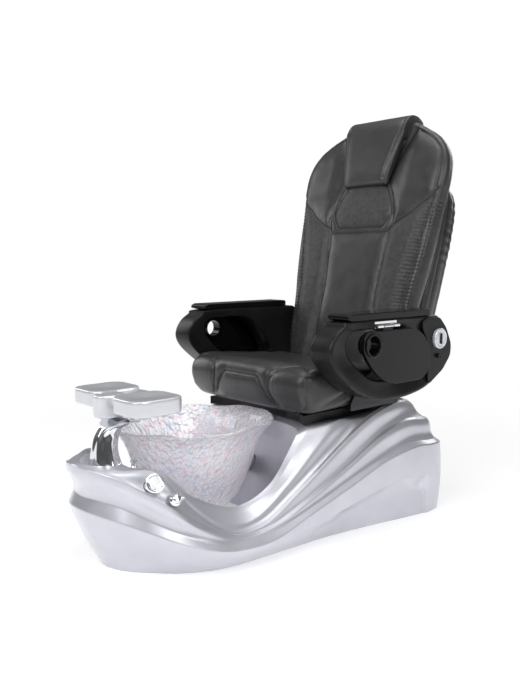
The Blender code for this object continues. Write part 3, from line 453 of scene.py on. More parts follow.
def matte_black():
    finish = Finish("grained_black", (0.009, 0.009, 0.010), 0.0, 0.34, Specular_IOR_Level=0.24)
    finish.colour(finish.noise(14, 4), [(0.3, (0.007,) * 3), (0.7, (0.012, 0.012, 0.013))])
    finish.roughness(finish.noise(40, 4), 0.28, 0.38)
    return finish.bump(finish.cells(1500), 0.35, 0.00014).material


def chrome():
    finish = Finish("chrome_plate", (0.82, 0.83, 0.85), 1.0, 0.05)
    finish.roughness(finish.noise(22, 5), 0.03, 0.09)
    return finish.bump(finish.noise(60, 2), 0.04, 0.0003).material


def silver_lacquer():
    finish = Finish(
        "silver_lacquer", (0.72, 0.73, 0.77), 0.45, 0.30, Coat_Weight=0.6, Coat_Roughness=0.10
    )
    finish.colour(finish.noise(9, 3), [(0.3, (0.68, 0.69, 0.73)), (0.7, (0.77, 0.78, 0.82))])
    return finish.bump(finish.cells(2200), 0.12, 0.00007).material


def steel():
    finish = Finish("dark_steel", (0.06, 0.06, 0.065), 1.0, 0.38)
    streaks = finish.noise(70, 5, 0.6, stretch=(1, 0.08, 1))
    finish.colour(streaks, [(0.3, (0.045, 0.045, 0.048)), (0.7, (0.075, 0.075, 0.080))])
    return finish.bump(streaks, 0.15, 0.0002).material


def plastic(name, colour, rough):
    finish = Finish(name, colour, 0.0, rough)
    dark, light = [c * 0.88 for c in colour], [min(c * 1.10, 1) for c in colour]
    finish.colour(finish.noise(18, 4), [(0.3, dark), (0.7, light)])
    return finish.bump(finish.cells(1300), 0.30, 0.00014).material


def bowl_glass():
    """Rippled glass with pastel flecks of pink, blue and amber in it, and a faint painted glow that keeps
    it bright as if lit through.
    """
    finish = Finish(
        "pearl_glass", (0.92, 0.91, 0.95), 0.0, 0.10,
        Transmission_Weight=0.76, IOR=1.45, Coat_Weight=0.8, Coat_Roughness=0.02,
        # Painted light: the glass glows faintly, standing in for light coming through it.
        Emission_Color=(0.93, 0.91, 0.98, 1), Emission_Strength=0.07,
    )
    flecks = finish.noise(34, 6, 0.70)
    finish.colour(
        flecks,
        [
            (0.28, (0.60, 0.58, 0.86)), (0.40, (0.84, 0.90, 0.99)), (0.50, (0.99, 0.98, 1.00)),
            (0.58, (0.99, 0.88, 0.90)), (0.66, (0.86, 0.62, 0.80)), (0.74, (0.74, 0.84, 0.97)),
        ],
    )
    finish.roughness(finish.noise(50, 4), 0.05, 0.22)
    finish.bump(finish.noise(44, 4, 0.6, stretch=(1, 1, 0.55)), 1.0, 0.0065)
    finish.bump(finish.cells(78, stretch=(1, 1, 0.7)), 1.0, 0.0060)
    return finish.bump(finish.noise(130, 3, 0.6), 0.6, 0.0018).material


PEARL, LEATHER, EMBOSSED = pearl(), leather(), quilted_leather()
GLOSS, MATTE, CHROME, SILVER, STEEL = gloss_black(), matte_black(), chrome(), silver_lacquer(), steel()
GLASS = bowl_glass()
GREY = plastic("grey_plastic", (0.28, 0.28, 0.29), 0.50)
RUBBER = plastic("rubber", (0.028, 0.028, 0.028), 0.75)
SLOT_FINISH = {
    "pearl_shell": PEARL, "frame_steel": STEEL, "bowl_glass": GLASS, "chrome_fittings": CHROME,
    "grey_plastic": GREY, "gloss_black": GLOSS, "silver_trim": SILVER, "matte_black": MATTE,
    "black_leather": LEATHER, "rubber": RUBBER,
}


def paint(obj, material):
    obj.data.materials.clear()
    obj.data.materials.append(material)


# Camera, light and floor.
FOCAL_LENGTH, SENSOR_WIDTH = 38.57, 36
CAMERA_PLACE = (1.916, -1.700, 0.919)
CAMERA_TILT, CAMERA_TURN = 83, 48  # degrees
SKY_GREYS = ((0.0, 0.60), (0.46, 0.50), (0.56, 0.22), (0.72, 0.55), (1.0, 0.95))  # from below to above
SKY_STRENGTH = 0.36
WHITE = (1, 1, 1, 1)
FLOOR_REACH = 14
FLOOR_FADE = (0.9, 2.6)  # distances between which the floor turns plain white
LIGHTS = (  # name, place, what it is aimed at, size, power
    ("key", (0.6, -2.6, 2.6), (0, 0, 0.6), (2.2, 1.6), 52),
    ("side", (3.0, -0.2, 2.3), (0, 0.1, 0.4), (1.4, 2.0), 30),
    ("far_side", (-3.0, -0.8, 1.9), (0, 0, 0.6), (1.2, 2.4), 26),
    ("top", (0.2, 0.4, 3.6), (0, 0, 0.3), (2.6, 2.6), 46),
    ("rear", (-0.6, 3.2, 2.0), (0, 0.3, 0.8), (1.8, 1.4), 22),
)


def camera():
    data = bpy.data.cameras.new("camera")
    data.lens = FOCAL_LENGTH
    data.sensor_width = SENSOR_WIDTH
    data.clip_end = 60
    obj = bpy.data.objects.new("camera", data)
    obj.location = place(CAMERA_PLACE)
    obj.rotation_euler = (math.radians(CAMERA_TILT), 0, math.radians(CAMERA_TURN))
    bpy.context.scene.collection.objects.link(obj)
    bpy.context.scene.camera = obj


def area_light(name, at, towards, size, power):
    data = bpy.data.lights.new(name, "AREA")
    data.shape = "RECTANGLE"
    data.size, data.size_y = size
    data.energy = power
    obj = bpy.data.objects.new(name, data)
    obj.location = at
    obj.rotation_euler = (Vector(towards) - Vector(at)).to_track_quat("-Z", "Y").to_euler()
    bpy.context.scene.collection.objects.link(obj)


def studio_floor():
    """White and faintly glossy near the chair, plain white further out."""
    floor = Finish(
        "floor", (0.80, 0.80, 0.81), 0.0, 0.16,
        Specular_IOR_Level=0.35, Emission_Color=WHITE, Emission_Strength=0.42,
    )
    floor.roughness(floor.noise(3, 2), 0.14, 0.18)
    away = floor.node("ShaderNodeVectorMath", Vector=floor.place)
    away.operation = "LENGTH"
    near, far = FLOOR_FADE
    blend = floor.node("ShaderNodeMapRange", Value=away.outputs["Value"], From_Min=near, From_Max=far)
    blend.interpolation_type = "SMOOTHSTEP"
    white = floor.node("ShaderNodeEmission", Color=WHITE, Strength=1.0)
    share, glossy = blend.outputs["Result"], floor.shader.outputs["BSDF"]
    blended(floor.tree, share, glossy, white.outputs["Emission"], "Material Output")
    return floor.material


def studio():
    """The camera sees a white backdrop, and the chair reflects the sky's greys and the lights."""
    scene = bpy.context.scene
    scene.view_settings.view_transform = "Standard"
    scene.world = bpy.data.worlds.new("studio")
    scene.world.use_nodes = True
    tree = scene.world.node_tree

    def node(kind, **inputs):
        return wired(tree, tree.nodes.new(kind), **inputs)

    height = node("ShaderNodeSeparateXYZ", Vector=node("ShaderNodeTexCoord").outputs["Generated"])
    level = node("ShaderNodeMapRange", Value=height.outputs["Z"], From_Min=-1)
    ramp = node("ShaderNodeValToRGB", Fac=level.outputs["Result"])
    set_stops(ramp, [(at, (grey, grey, grey * 1.02)) for at, grey in SKY_GREYS])
    sky = wired(tree, tree.nodes["Background"], Color=ramp.outputs["Color"], Strength=SKY_STRENGTH)
    plain = node("ShaderNodeBackground", Color=WHITE, Strength=1.02)
    seen = node("ShaderNodeLightPath").outputs["Is Camera Ray"]
    blended(tree, seen, sky.outputs["Background"], plain.outputs["Background"], "World Output")

    for light in LIGHTS:
        area_light(*light)

    corners = [(x * FLOOR_REACH, y * FLOOR_REACH, 0) for x, y in ((-1, -1), (1, -1), (1, 1), (-1, 1))]
    make("floor", corners, [(0, 1, 2, 3)], studio_floor())


# Base: ridges and valleys from the bow (x = 0) round the left side to the stern (x = 0).
WELL_BOTTOM = mm([
    (0, -430, 75), (35, -428, 75), (70, -420, 75), (105, -395, 75), (130, -360, 75), (145, -310, 75),
    (150, -250, 75), (147, -190, 75), (135, -145, 75), (118, -122, 75), (95, -108, 75), (70, -99, 75),
    (47, -94, 75), (24, -91, 75), (0, -90, 75),
])
WELL_WALL = mm([
    (0, -500, 284), (40, -498, 284), (82, -488, 278), (125, -455, 235), (155, -405, 160), (180, -335, 112),
    (188, -250, 102), (192, -150, 135), (192, -80, 215), (180, -50, 235), (150, -38, 235), (115, -30, 232),
    (78, -25, 230), (40, -22, 230), (0, -20, 230),
])
DISH_FOOT = mm([
    (0, -652, 287), (45, -634, 287), (92, -582, 286), (150, -490, 262), (180, -420, 195), (205, -335, 150),
    (214, -250, 140), (222, -142, 185), (226, -58, 290), (208, -30, 312), (170, -12, 312), (128, 0, 312),
    (86, 7, 312), (43, 11, 312), (0, 12, 312),
])
WELL_RIM = mm([
    (0, -668, 331), (45, -651, 328), (100, -595, 327), (165, -497, 303), (197, -425, 230), (224, -335, 183),
    (234, -250, 175), (240, -140, 225), (243, -45, 345), (222, -16, 366), (182, 4, 367), (137, 16, 367),
    (92, 23, 367), (46, 27, 367), (0, 28, 367),
])
DECK_FRONT = mm([
    (0, -673, 331.5), (49, -655, 328), (106, -599, 326.5), (173, -500, 303), (205, -430, 226),
    (233, -337, 170), (246, -246, 164), (252, -128, 225), (254, -10, 357), (232, 12, 378), (190, 26, 380),
    (143, 35, 380), (96, 41, 380), (48, 44, 380), (0, 45, 380),
])
WAVE_1 = mm([
    (0, -678, 331), (52, -660, 327), (112, -603, 325.5), (180, -503, 303), (215, -437, 215),
    (248, -340, 141), (265, -235, 139), (271, -100, 226), (279, 90, 376), (277, 215, 379.5),
    (272, 340, 380), (258, 440, 380), (200, 520, 380), (110, 550, 380), (0, 556, 380),
])
WAVE_2_VALLEY = mm([
    (0, -684, 330.5), (56, -666, 326.2), (118, -609, 324.5), (182, -519, 309), (224, -440, 192),
    (264, -341, 115), (284, -218, 117), (294, -85, 190), (304, 97, 307), (308, 252, 390), (296, 404, 415),
    (266, 492, 406), (210, 556, 397), (117, 592, 390), (0, 602, 388),
])
WAVE_2 = mm([
    (0, -689, 330), (60, -672, 325), (125, -615, 323), (186, -530, 311), (232, -437, 190), (272, -340, 113),
    (291, -215, 115), (301, -80, 188), (311, 100, 305), (315.5, 260, 388), (303, 410, 413), (273, 500, 403),
    (216, 566, 393), (120, 602, 386), (0, 612, 384),
])
WAVE_3_VALLEY = mm([
    (0, -698, 327.5), (69, -681, 324.5), (151, -621, 298.5), (227, -534, 234.5), (259, -448, 163),
    (285, -322, 102), (300, -199, 107), (308, -62, 157), (318, 108, 233), (327, 277, 319), (328, 417, 353),
    (321, 512, 346), (288, 585, 337), (172, 633, 330), (0, 640, 328),
])
WAVE_3 = mm([
    (0, -700, 326), (71, -683, 323), (154, -623, 296), (230, -535, 231), (262, -447, 158), (290, -320, 99),
    (305, -197, 103), (314, -60, 152), (324, 110, 228), (334, 280, 314), (335, 420, 348), (328, 518, 341),
    (295, 592, 332), (178, 640, 325), (0, 647, 323),
])
WAVE_4_VALLEY = mm([
    (0, -670, 232), (77, -656, 233), (150, -605, 209), (235, -510, 149), (287, -408, 102), (305, -320, 84),
    (315, -197, 94), (321, -60, 130), (330, 110, 187), (343, 280, 241), (355, 430, 275), (357, 530, 268),
    (322, 608, 262), (190, 660, 258), (0, 668, 257),
])
WAVE_4 = mm([
    (0, -690, 200), (76, -675, 194), (166, -618, 172), (250, -522, 126), (300, -419, 86), (318, -320, 69),
    (327, -197, 72), (331, -60, 114), (340, 110, 168), (354, 280, 230), (370, 430, 260), (373, 530, 256),
    (335, 620, 248), (200, 675, 243), (0, 685, 242),
])
FLOOR_EDGE = mm([
    (0, -600, 0), (65, -582, 0), (122, -541, 0), (199, -462, 0), (250, -363, 0), (266, -260, 0),
    (272, -140, 0), (280, -20, 0), (297, 120, 0), (322, 270, 0), (352, 430, 0), (362, 530, 0),
    (332, 620, 0), (200, 686, 0), (0, 700, 0),
])

BANDS = (  # ring, fillet at it, points across the band after it, how far that band curves
    (WELL_BOTTOM, 0.010, 5, 0.0), (WELL_WALL, 0.008, 2, 0.0), (DISH_FOOT, 0.004, 2, 0.03),
    (WELL_RIM, 0.0022, 0, 0.0), (DECK_FRONT, 0.0022, 1, 0.0), (WAVE_1, 0.0018, 5, 0.035),
    (WAVE_2_VALLEY, 0.0020, 0, 0.0), (WAVE_2, 0.0024, 5, 0.040), (WAVE_3_VALLEY, 0.0020, 0, 0.0),
    (WAVE_3, 0.0024, 6, 0.040), (WAVE_4_VALLEY, 0.0040, 0, 0.0), (WAVE_4, 0.0040, 0, 0.0),
)
VALLEYS = (6, 8, 10)  # the bands that start in a valley, which is deeper away from the bow
SKIN = 0.012
BELLY = 0.45  # height share of the widest ring under the lowest wave
DECK_NORMAL = unit(np.array([0.861, -0.152, 0.483]))
SHOWER_CENTRE = np.array([0.210, -0.561, 0.2935])
MIXER_CENTRE = np.array([0.238, -0.512, 0.2425])
DRAIN_KNOB_CENTRE = np.array([0.043, -0.520, 0.2895])
JET_CENTRE = np.array([0, -0.066, 0.232])
JET_AXIS = unit(np.array([0, 0.928, -0.371]))
BOWL_CENTRE = np.array([0, -0.262, 0])
RECESS_TOP = mm([  # y, z of the sunk panel's upper edge low on each side, bow to stern
    (-65, 26), (-15, 48), (40, 64), (122, 89), (190, 113), (260, 133), (330, 148), (379, 155), (429, 152),
    (472, 137), (502, 110), (517, 75),
])


def full_ring(stations):
    """A ring from its left half."""
    flip = np.array([-1, 1, 1])
    near = curve(stations, 12, ends=(stations[1] * flip, stations[-2] * flip))
    return np.vstack([near, near[-2:0:-1] * flip])


def spread(ring, outward, down=0.0):
    along = np.roll(ring, -1, axis=0) - np.roll(ring, 1, axis=0)
    normal = unit(np.c_[along[:, 1], -along[:, 0], np.zeros(len(ring))])
    return ring + normal * outward - np.array([0, 0, down])


def banded(rings, fillets, counts, bends):
    """Rows through the rings: a small fillet at each, and an S-shaped wave in each wide band."""
    rows = []
    last = len(rings) - 1

    def reach(k, other):
        """How far the fillet at a ring goes towards another."""
        if k in (0, last):
            return np.zeros((len(rings[k]), 1))
        return np.minimum(fillets[k], np.linalg.norm(rings[other] - rings[k], axis=1) * 0.45)[:, None]

    for k, here in enumerate(rings):
        if k in (0, last):
            rows.append(here)
        else:
            before, after = rings[k - 1] - here, rings[k + 1] - here
            start, end = here + unit(before) * reach(k, k - 1), here + unit(after) * reach(k, k + 1)
            rows += [start, (start + 2 * here + end) / 4, end]
        if k == last:
            break
        ahead = rings[k + 1] - here
        along = np.roll(here, -1, axis=0) - np.roll(here, 1, axis=0)
        outward = unit(np.cross(ahead, along))
        width = np.maximum(np.linalg.norm(ahead, axis=1)[:, None], 1e-6)
        low, high = reach(k, k + 1) / width, 1 - reach(k + 1, k) / width
        for i in range(counts[k]):
            t = low + (high - low) * (i + 1) / (counts[k] + 1)
            rows.append(here + ahead * t + outward * width * bends[k] * np.sin(2 * math.pi * t))
    return rows


def sunk_sides(points):
    """The points, with those of the long panel low on each side moved in; its lip is deepest."""
    top = curve(RECESS_TOP, 6)
    y, z = points[:, 1], points[:, 2]
    height = np.interp(y, top[:, 0], top[:, 1])
    depth = 0.027 * ease(height - z, 0.0, 0.014) * (0.25 + 0.75 * np.clip(z / height, 0, 1))
    depth *= ease(y, -0.065, 0.08) * ease(RECESS_TOP[-1][0] - y, 0.0, 0.022)
    moved = points.copy()
    moved[:, 0] -= np.sign(points[:, 0]) * np.where(np.abs(points[:, 0]) > 0.20, depth, 0)
    return moved


def bore(centre, axis, low, high, radius, count=48):
    return turned("bore", place(centre), axis, [(radius, low), (radius, high)], None, count, soft=0)


def base_shell():
    rings = [full_ring(band[0]) for band in BANDS]
    for k in VALLEYS:
        rings[k] = spread(rings[k], -0.0055 * ease(rings[k][:, 1:2], -0.50, -0.25))
    floor_edge, ridge = full_ring(FLOOR_EDGE), rings[-1]
    belly = spread(floor_edge + (ridge - floor_edge) * BELLY, 0.008)
    low_belly = spread(floor_edge + (ridge - floor_edge) * 0.16, 0.0040)
    high_belly = spread(floor_edge + (ridge - floor_edge) * 0.76, 0.0055)
    rings += [high_belly, belly, low_belly, floor_edge]
    fillets = [band[1] for band in BANDS] + [0.012, 0.03, 0.012, 0.0]
    counts = [band[2] for band in BANDS[:-1]] + [8, 12, 12, 6]
    bends = [band[3] for band in BANDS[:-1]] + [0.0] * 4
    outside = banded(rings, fillets, counts, bends)
    bottom, wall, foot, rim = rings[:4]
    hollow = [
        spread(floor_edge, -SKIN), spread(belly, -SKIN), spread(full_ring(WAVE_4_VALLEY), -SKIN),
        spread(full_ring(WAVE_2), -SKIN, SKIN), spread(full_ring(WAVE_1), -0.004, 0.014),
        spread(rim, 0.004, 0.030), spread(foot, 0.006, 0.008), spread(wall, 0.006, 0.008),
        spread(bottom, 0.007),
    ]
    shell = ringed("pearl_base", [place(sunk_sides(row)) for row in outside + hollow], PEARL)
    for cutter in (
        bore(SHOWER_CENTRE, DECK_NORMAL, -0.06, 0.06, 0.0215),
        bore(MIXER_CENTRE, DECK_NORMAL, -0.06, 0.06, 0.0115),
        bore(MIXER_CENTRE, DECK_NORMAL, -0.06, -0.018, 0.0170),
        bore(DRAIN_KNOB_CENTRE, (0, 0, 1), -0.05, 0.05, 0.0065),
        bore(JET_CENTRE, JET_AXIS, 0.012, 0.10, 0.0335),
        block("bore", (0.138, 0.60, 0.105), (0.202, 0.76, 0.155), None, 0.0),
        block("bore", (-0.150, 0.60, -0.02), (-0.110, 0.76, 0.036), None, 0.0),
    ):
        cut(shell, cutter)
    paint(shell, PEARL)
    stands_for(crisp(shell, 50), "base_shell")


# Bowl and its fittings.
BOWL_SECTIONS = mm([  # half width, half length, height of the outside
    (24, 24, 108), (50, 58, 108), (85, 100, 113), (120, 150, 145), (145, 185, 205), (168, 212, 270),
    (190, 236, 335), (207, 253, 369), (220, 266, 386), (229, 275, 397.5),
])
BOWL_WALL = 0.0055


def rippled(points, normals):
    """The glass's ripples, and the waves in its flared lip."""
    moved = points.copy()
    for i, (point, normal) in enumerate(zip(points, normals)):
        lift = ease(point[2], 0.120, 0.160)
        ripple = 0.0016 * noise.noise(Vector(point) * 42) + 0.0010 * noise.noise(Vector(point) * 95)
        moved[i] += normal * ripple * lift
    lip = ease(points[:, 2], 0.345, 0.395)
    turn = np.arctan2(points[:, 1] - BOWL_CENTRE[1] - SHIFT[1], points[:, 0])
    moved[:, 2] += lip * (0.0035 * np.sin(5 * turn + 0.6) + 0.0020 * np.sin(11 * turn))
    outward = unit(np.c_[np.cos(turn), np.sin(turn), np.zeros(len(turn))])
    return moved + outward * (lip * 0.0045 * np.sin(7 * turn + 1.0))[:, None]


def bowl():
    count = 144
    sections = curve(BOWL_SECTIONS, 8)
    turns = full_turn(count)
    ring = np.c_[np.cos(turns), np.sin(turns)]

    def loop(half_x, half_y, z):
        return place(np.c_[ring[:, 0] * half_x, ring[:, 1] * half_y + BOWL_CENTRE[1], np.full(count, z)])

    outer = [loop(*section) for section in sections]
    slope = unit(np.gradient(sections[:, 1:], axis=0))
    inner = [
        loop(a - BOWL_WALL * up, b - BOWL_WALL * up, z + BOWL_WALL * along)
        for (a, b, z), (along, up) in zip(sections, slope)
    ]
    inner[0] = loop(0.0240, 0.0240, 0.1080 + BOWL_WALL)
    shape = ringed("glass_bowl", outer + inner[::-1], GLASS)
    points, _ = vertex_arrays(shape)
    radial = points - place(BOWL_CENTRE)
    radial[:, 2] = 0
    move_vertices(shape, rippled(points, unit(radial)))
    cut(shape, bore(JET_CENTRE, JET_AXIS, -0.05, 0.04, 0.0285))
    stands_for(crisp(shape, 55), "bowl")


def drain():
    flange = mm([(16.5, 90), (22.5, 90), (22.5, 115), (36, 115.8), (35, 118), (16.5, 117)])
    up = (0, 0, 1)
    centre = place(BOWL_CENTRE)
    stands_for(turned("drain_ring", centre, up, flange, CHROME, 64, True), "drain_flange")
    cap = mm([(0, 96), (4, 96), (4, 119), (20, 119), (20.5, 120.5), (15, 123), (6, 124), (0, 124.1)])
    stands_for(turned("drain_cap", centre, up, cap, CHROME), "drain_stopper")
    knob = mm([(0, 0), (12, 0), (12.5, 10), (9, 14), (8.5, 22), (12, 26), (11, 31), (0, 32.2)])
    head = turned("knob_head", place(DRAIN_KNOB_CENTRE), up, knob, CHROME, 48, soft=0.0012)
    stem = turned("knob_stem", place(DRAIN_KNOB_CENTRE), up, [(0.005, -0.030), (0.005, 0.001)], CHROME, 24)
    stands_for(merged("drain_control", head, stem), "drain_knob")


def jet():
    centre = place(JET_CENTRE)
    housing = mm([(21.5, -15.5), (35, -15.5), (35, -12.4), (27.8, -12.4), (27.8, 30), (21.5, 30)])
    stands_for(turned("jet_body", centre, JET_AXIS, housing, GLOSS, 64, True), "jet_housing")
    rings = []
    for radius in (0.0085, 0.0145, 0.0205, 0.0262):
        h = -0.030 + (radius / 0.033) ** 2 * 0.0125
        low, high = radius - 0.0014, radius + 0.0014
        profile = [(low, h), (high, h), (high, h + 0.003), (low, h + 0.003)]
        rings.append(turned("grille_ring", centre, JET_AXIS, profile, CHROME, 64, True))
    rim = mm([(28.5, -21.5), (32, -18.5), (33, -16), (28.5, -16)])
    rings.append(turned("grille_rim", centre, JET_AXIS, rim, CHROME, 64, True))
    boss = mm([(0, -30.5), (7.5, -30), (8, -26.5), (0, -26.2)])
    rings.append(turned("grille_boss", centre, JET_AXIS, boss, CHROME, 32))
    side, other = square_to(JET_AXIS)
    rise = JET_AXIS * 0.0022
    for turn in full_turn(8):
        outward = math.cos(turn) * side + math.sin(turn) * other
        across = np.cross(JET_AXIS, outward) * 0.0010
        corners = []
        for radius, h in ((0.006, -0.0296), (0.018, -0.0258), (0.030, -0.0195)):
            at = centre + outward * radius + JET_AXIS * h
            corners.append([at - across, at + across, at + across + rise, at - across + rise])
        rings.append(capped("grille_spoke", corners, CHROME))
    stands_for(merged("jet_grille", *rings), "jet_cover")


def water_controls():
    """Hand shower with a swirl of slots in its face, its collar, and the mixer's lever."""
    sleeve = mm([(17, -40), (20.5, -40), (20.5, 3.5), (28, 3.5), (26.8, 7.8), (17, 7.5)])
    centre = place(SHOWER_CENTRE)
    stands_for(turned("shower_collar", centre, DECK_NORMAL, sleeve, CHROME, 64, True), "shower_sleeve")
    head = mm([
        (0, -60), (8, -60), (10, -45), (16, -20), (16, 8), (23.5, 8.2), (23.8, 14), (21.5, 16.2),
        (19.5, 15), (19, 13.8), (0, 14.2),
    ])
    parts = [turned("shower_body", centre, DECK_NORMAL, head, CHROME)]
    side, other = square_to(DECK_NORMAL)
    blade = 0.0010
    for across in np.linspace(-0.0145, 0.0145, 8):
        reach = math.sqrt(0.0178**2 - across**2)
        row = []
        for t in np.linspace(-reach, reach, 15):
            wave = across + 0.0022 * math.sin(t / 0.0178 * math.pi)
            at = centre + side * wave + other * t + DECK_NORMAL * 0.0136
            edge, rise = side * blade, DECK_NORMAL * 0.0020
            row.append([at - edge, at + edge, at + edge * 0.7 + rise, at - edge * 0.7 + rise])
        parts.append(capped("shower_rib", row, GLOSS))
    stands_for(merged("shower_head", *parts), "hand_shower")
    centre = place(MIXER_CENTRE)
    knob = mm([(0, 4), (18.5, 4), (19, 8.5), (16.5, 12), (13.5, 15), (12.5, 21), (8, 24.2), (0, 24.6)])
    cap = turned("mixer_cap", centre, DECK_NORMAL, knob, CHROME, 48, soft=0.0016)
    start = centre + DECK_NORMAL * 0.017
    reach = unit(np.array([0.10, 0.75, -0.10]))
    lever = mm([(0, -2), (4.2, 0), (3.6, 14), (4.4, 20.5), (0, 22.2)])
    arm = turned("mixer_arm", start, reach * 0.9 + DECK_NORMAL * 0.25, lever, CHROME, 24, soft=0.0015)
    stands_for(merged("mixer_lever", cap, arm), "mixer_knob")


def remeshed(obj, voxel, rounds):
    """One smooth skin round overlapping pieces."""
    skin = obj.modifiers.new("skin", "REMESH")
    skin.mode = "VOXEL"
    skin.voxel_size = voxel
    skin.use_smooth_shade = True
    even = obj.modifiers.new("even", "SMOOTH")
    even.factor = 0.5
    even.iterations = rounds
    return baked(obj)


def footrest():
    """Two pads joined by a lower nose, sculpted in one piece over the chrome column."""
    top, low = 0.5235, 0.4740

    def pad(outline, bottom, height):
        outline = rounded(outline, 0.052, 10)
        rows = [np.c_[outline, np.full(len(outline), z)] for z in np.linspace(bottom, height, 4)]
        return ringed("pad", [place(row) for row in rows], SILVER, caps=2)

    near = mm([(36, -603), (188, -603), (188, -425), (36, -425)])
    far = [(-x, y) for x, y in near]
    nose = mm([(-34, -618), (22, -618), (30, -520), (-40, -520)])
    bridge = mm([(-60, -580), (60, -580), (60, -432), (-60, -432)])
    pieces = [pad(outline, low, top) for outline in (near, far)]
    pieces += [pad(nose, 0.452, 0.520), pad(bridge, 0.496, top - 0.008)]
    for x in (-0.0475, 0.0475):
        pieces.append(block("lug", (x - 0.005, -0.547, 0.4605), (x + 0.005, -0.523, 0.490), SILVER))
    whole = remeshed(merged("footrest_pad", *pieces), 0.0026, 34)
    points = vertex_arrays(whole)[0] - SHIFT
    on_top = ease(points[:, 2], 0.500, 0.520)
    across, along = (np.abs(points[:, 0]) - 0.110) / 0.050, (points[:, 1] + 0.515) / 0.060
    points[:, 2] -= on_top * 0.0045 * np.exp(-(across**2 + along**2))
    move_vertices(whole, points + SHIFT)
    paint(whole, SILVER)
    whole.data.shade_smooth()
    stands_for(whole, "footrest")


def footrest_stand():
    """Fluted column whose top opens into two wings under the pads."""
    sections = mm([  # centre y, half width, half depth, height
        (-590, 60, 52, 288.5), (-590.5, 56, 49, 296), (-593, 45, 42, 325), (-593, 37, 37, 356),
        (-588, 33, 35, 386), (-580, 33, 34, 406), (-568, 46, 33, 424), (-554, 76, 30, 440),
        (-545, 108, 25, 450), (-542, 116, 21, 453),
    ])
    sections = curve(sections, 6)
    turns = full_turn(96)
    rows = []
    for y, a, b, z in sections:
        flute = 1 + 0.075 * np.cos(6 * turns) * (1 - ease(z, 0.41, 0.45)) * ease(z, 0.288, 0.31)
        saddle = 0.010 * ease(z, 0.42, 0.45) * (1 - np.abs(np.cos(turns)) ** 1.5)
        rows.append(np.c_[a * flute * np.cos(turns), y + b * flute * np.sin(turns), z - saddle])
    column = ringed("column", [place(row) for row in rows], CHROME, caps=3)
    parts = [crisp(column, 60)]
    for x in (-0.060, 0.060):
        ear = rounded([(-0.546, 0.440), (-0.524, 0.440), (-0.526, 0.4775), (-0.544, 0.4775)], 0.008)
        parts.append(slab("ear", ear, x - 0.005, x + 0.005, CHROME, 0.0012))
    stands_for(merged("chrome_column", *parts), "footrest_stand")
    pin = turned("tilt_pin", place((-0.075, -0.535, 0.470)), (1, 0, 0), rod(4, 150), STEEL, 32)
    stands_for(pin, "footrest_pin")


# Upholstery.
CUSHION_DEPTH = 0.095
SEAM_RIDGE = 0.0006  # the leather's swell beside a seam
SEAM_STEP = 0.0015
CREASE_REACH = 0.035  # how far from a seam its fine creases die out
BACK_WIDTHS = mm([  # height along the lean, half width, front depth
    (45, 272, 6), (140, 286, 2), (290, 293, 2), (400, 308, 2), (560, 324, 2), (700, 333, 3), (790, 338, 7),
    (860, 320, 14), (920, 268, 22), (965, 192, 30), (990, 140, 38),
])
# Seams on the front of the back, as half width and height.
OUTER_PLEAT = mm([(252, 40), (257, 100), (258, 283), (266, 392), (286, 513), (311, 633), (335, 715)])
PANEL_EDGE = mm([(143, 40), (141, 83), (135, 170), (130, 350), (137, 452), (144, 567)])
WING_LOW = mm([(144, 567), (190, 598), (235, 625), (274, 660), (310, 685), (336, 712)])
WING_INNER = mm([(106, 746), (136, 690), (155, 610), (144, 567)])
HEX_EDGE = mm([(92, 746), (138, 640), (108, 578)])
HEX_LOW = mm([(-108, 578), (108, 578)])
PANEL_TOP = mm([(-144, 560), (144, 560)])
WING_TOP = mm([(106, 746), (125, 820), (152, 895), (178, 955)])
BORDER = mm([(324, 716), (326, 780), (312, 850), (262, 908), (190, 952)])


def seam_distances(obj, lines, points):
    """How far the points of the surface are from the seam lines, once these are laid on it."""
    surface = BVHTree.FromPolygons(
        [v.co for v in obj.data.vertices], [face.vertices[:] for face in obj.data.polygons]
    )
    found = []
    for line in lines:
        length = np.linalg.norm(np.diff(line, axis=0), axis=1).sum()
        for point in resampled(line, max(int(length / SEAM_STEP), 8)):
            found.append(np.array(surface.find_nearest(Vector(point))[0]))
    tree = KDTree(len(found))
    for i, point in enumerate(found):
        tree.insert(point, i)
    tree.balance()
    return np.array([tree.find(point)[2] for point in points])


def grain_of(points, size):
    return np.array([noise.noise(Vector(point) * size) for point in points])


def upholster(obj, lines, crown, reach=0.018, groove=0.0058, width=0.0028, creases=0.0014, extra=None):
    """Foam swells between the seam lines, sinks sharply at them, and the leather over it creases."""
    points, normals = vertex_arrays(obj)
    away = seam_distances(obj, lines, points)
    lift = crown * (1 - np.exp(-((away / reach) ** 1.3)))
    lift -= groove * np.exp(-((away / width) ** 2))
    lift += SEAM_RIDGE * np.exp(-(((away - 2.3 * width) / width) ** 2))
    soft = np.exp(-away / CREASE_REACH)
    lift += creases * (0.6 * grain_of(points, 16) + 0.5 * soft * grain_of(points + 3.1, 55))
    if extra is not None:
        lift += extra(points)
    move_vertices(obj, points + normals * lift[:, None])
    # Painted shade: this point attribute darkens the leather's colour in and just beside each seam groove.
    seam_shade_mask = obj.data.attributes.new("seam", "FLOAT", "POINT")
    seam_shade_mask.data.foreach_set("value", np.exp(-((away / (0.75 * width)) ** 2)))
    obj.data.shade_smooth()
    obj.data.update()


def both_sides(line):
    line = np.asarray(line, float)
    return [line, line * np.array([-1] + [1] * (line.shape[1] - 1))]


def back_front(heights):
    return np.interp(heights, BACK_WIDTHS[:, 0], BACK_WIDTHS[:, 2])


def back_line(line):
    """A seam given as (half width, height), laid on the front of the back."""
    line = curve(line, 6) if len(line) > 2 else line
    return back_place(np.c_[line[:, 0], back_front(line[:, 1]) - 0.004, line[:, 1]])


def back_local(points):
    """Across, depth and height of the frame's points in the plane of the back."""
    offset = points - PIVOT
    return offset[:, 0], offset @ LEAN_REAR, offset @ LEAN_UP


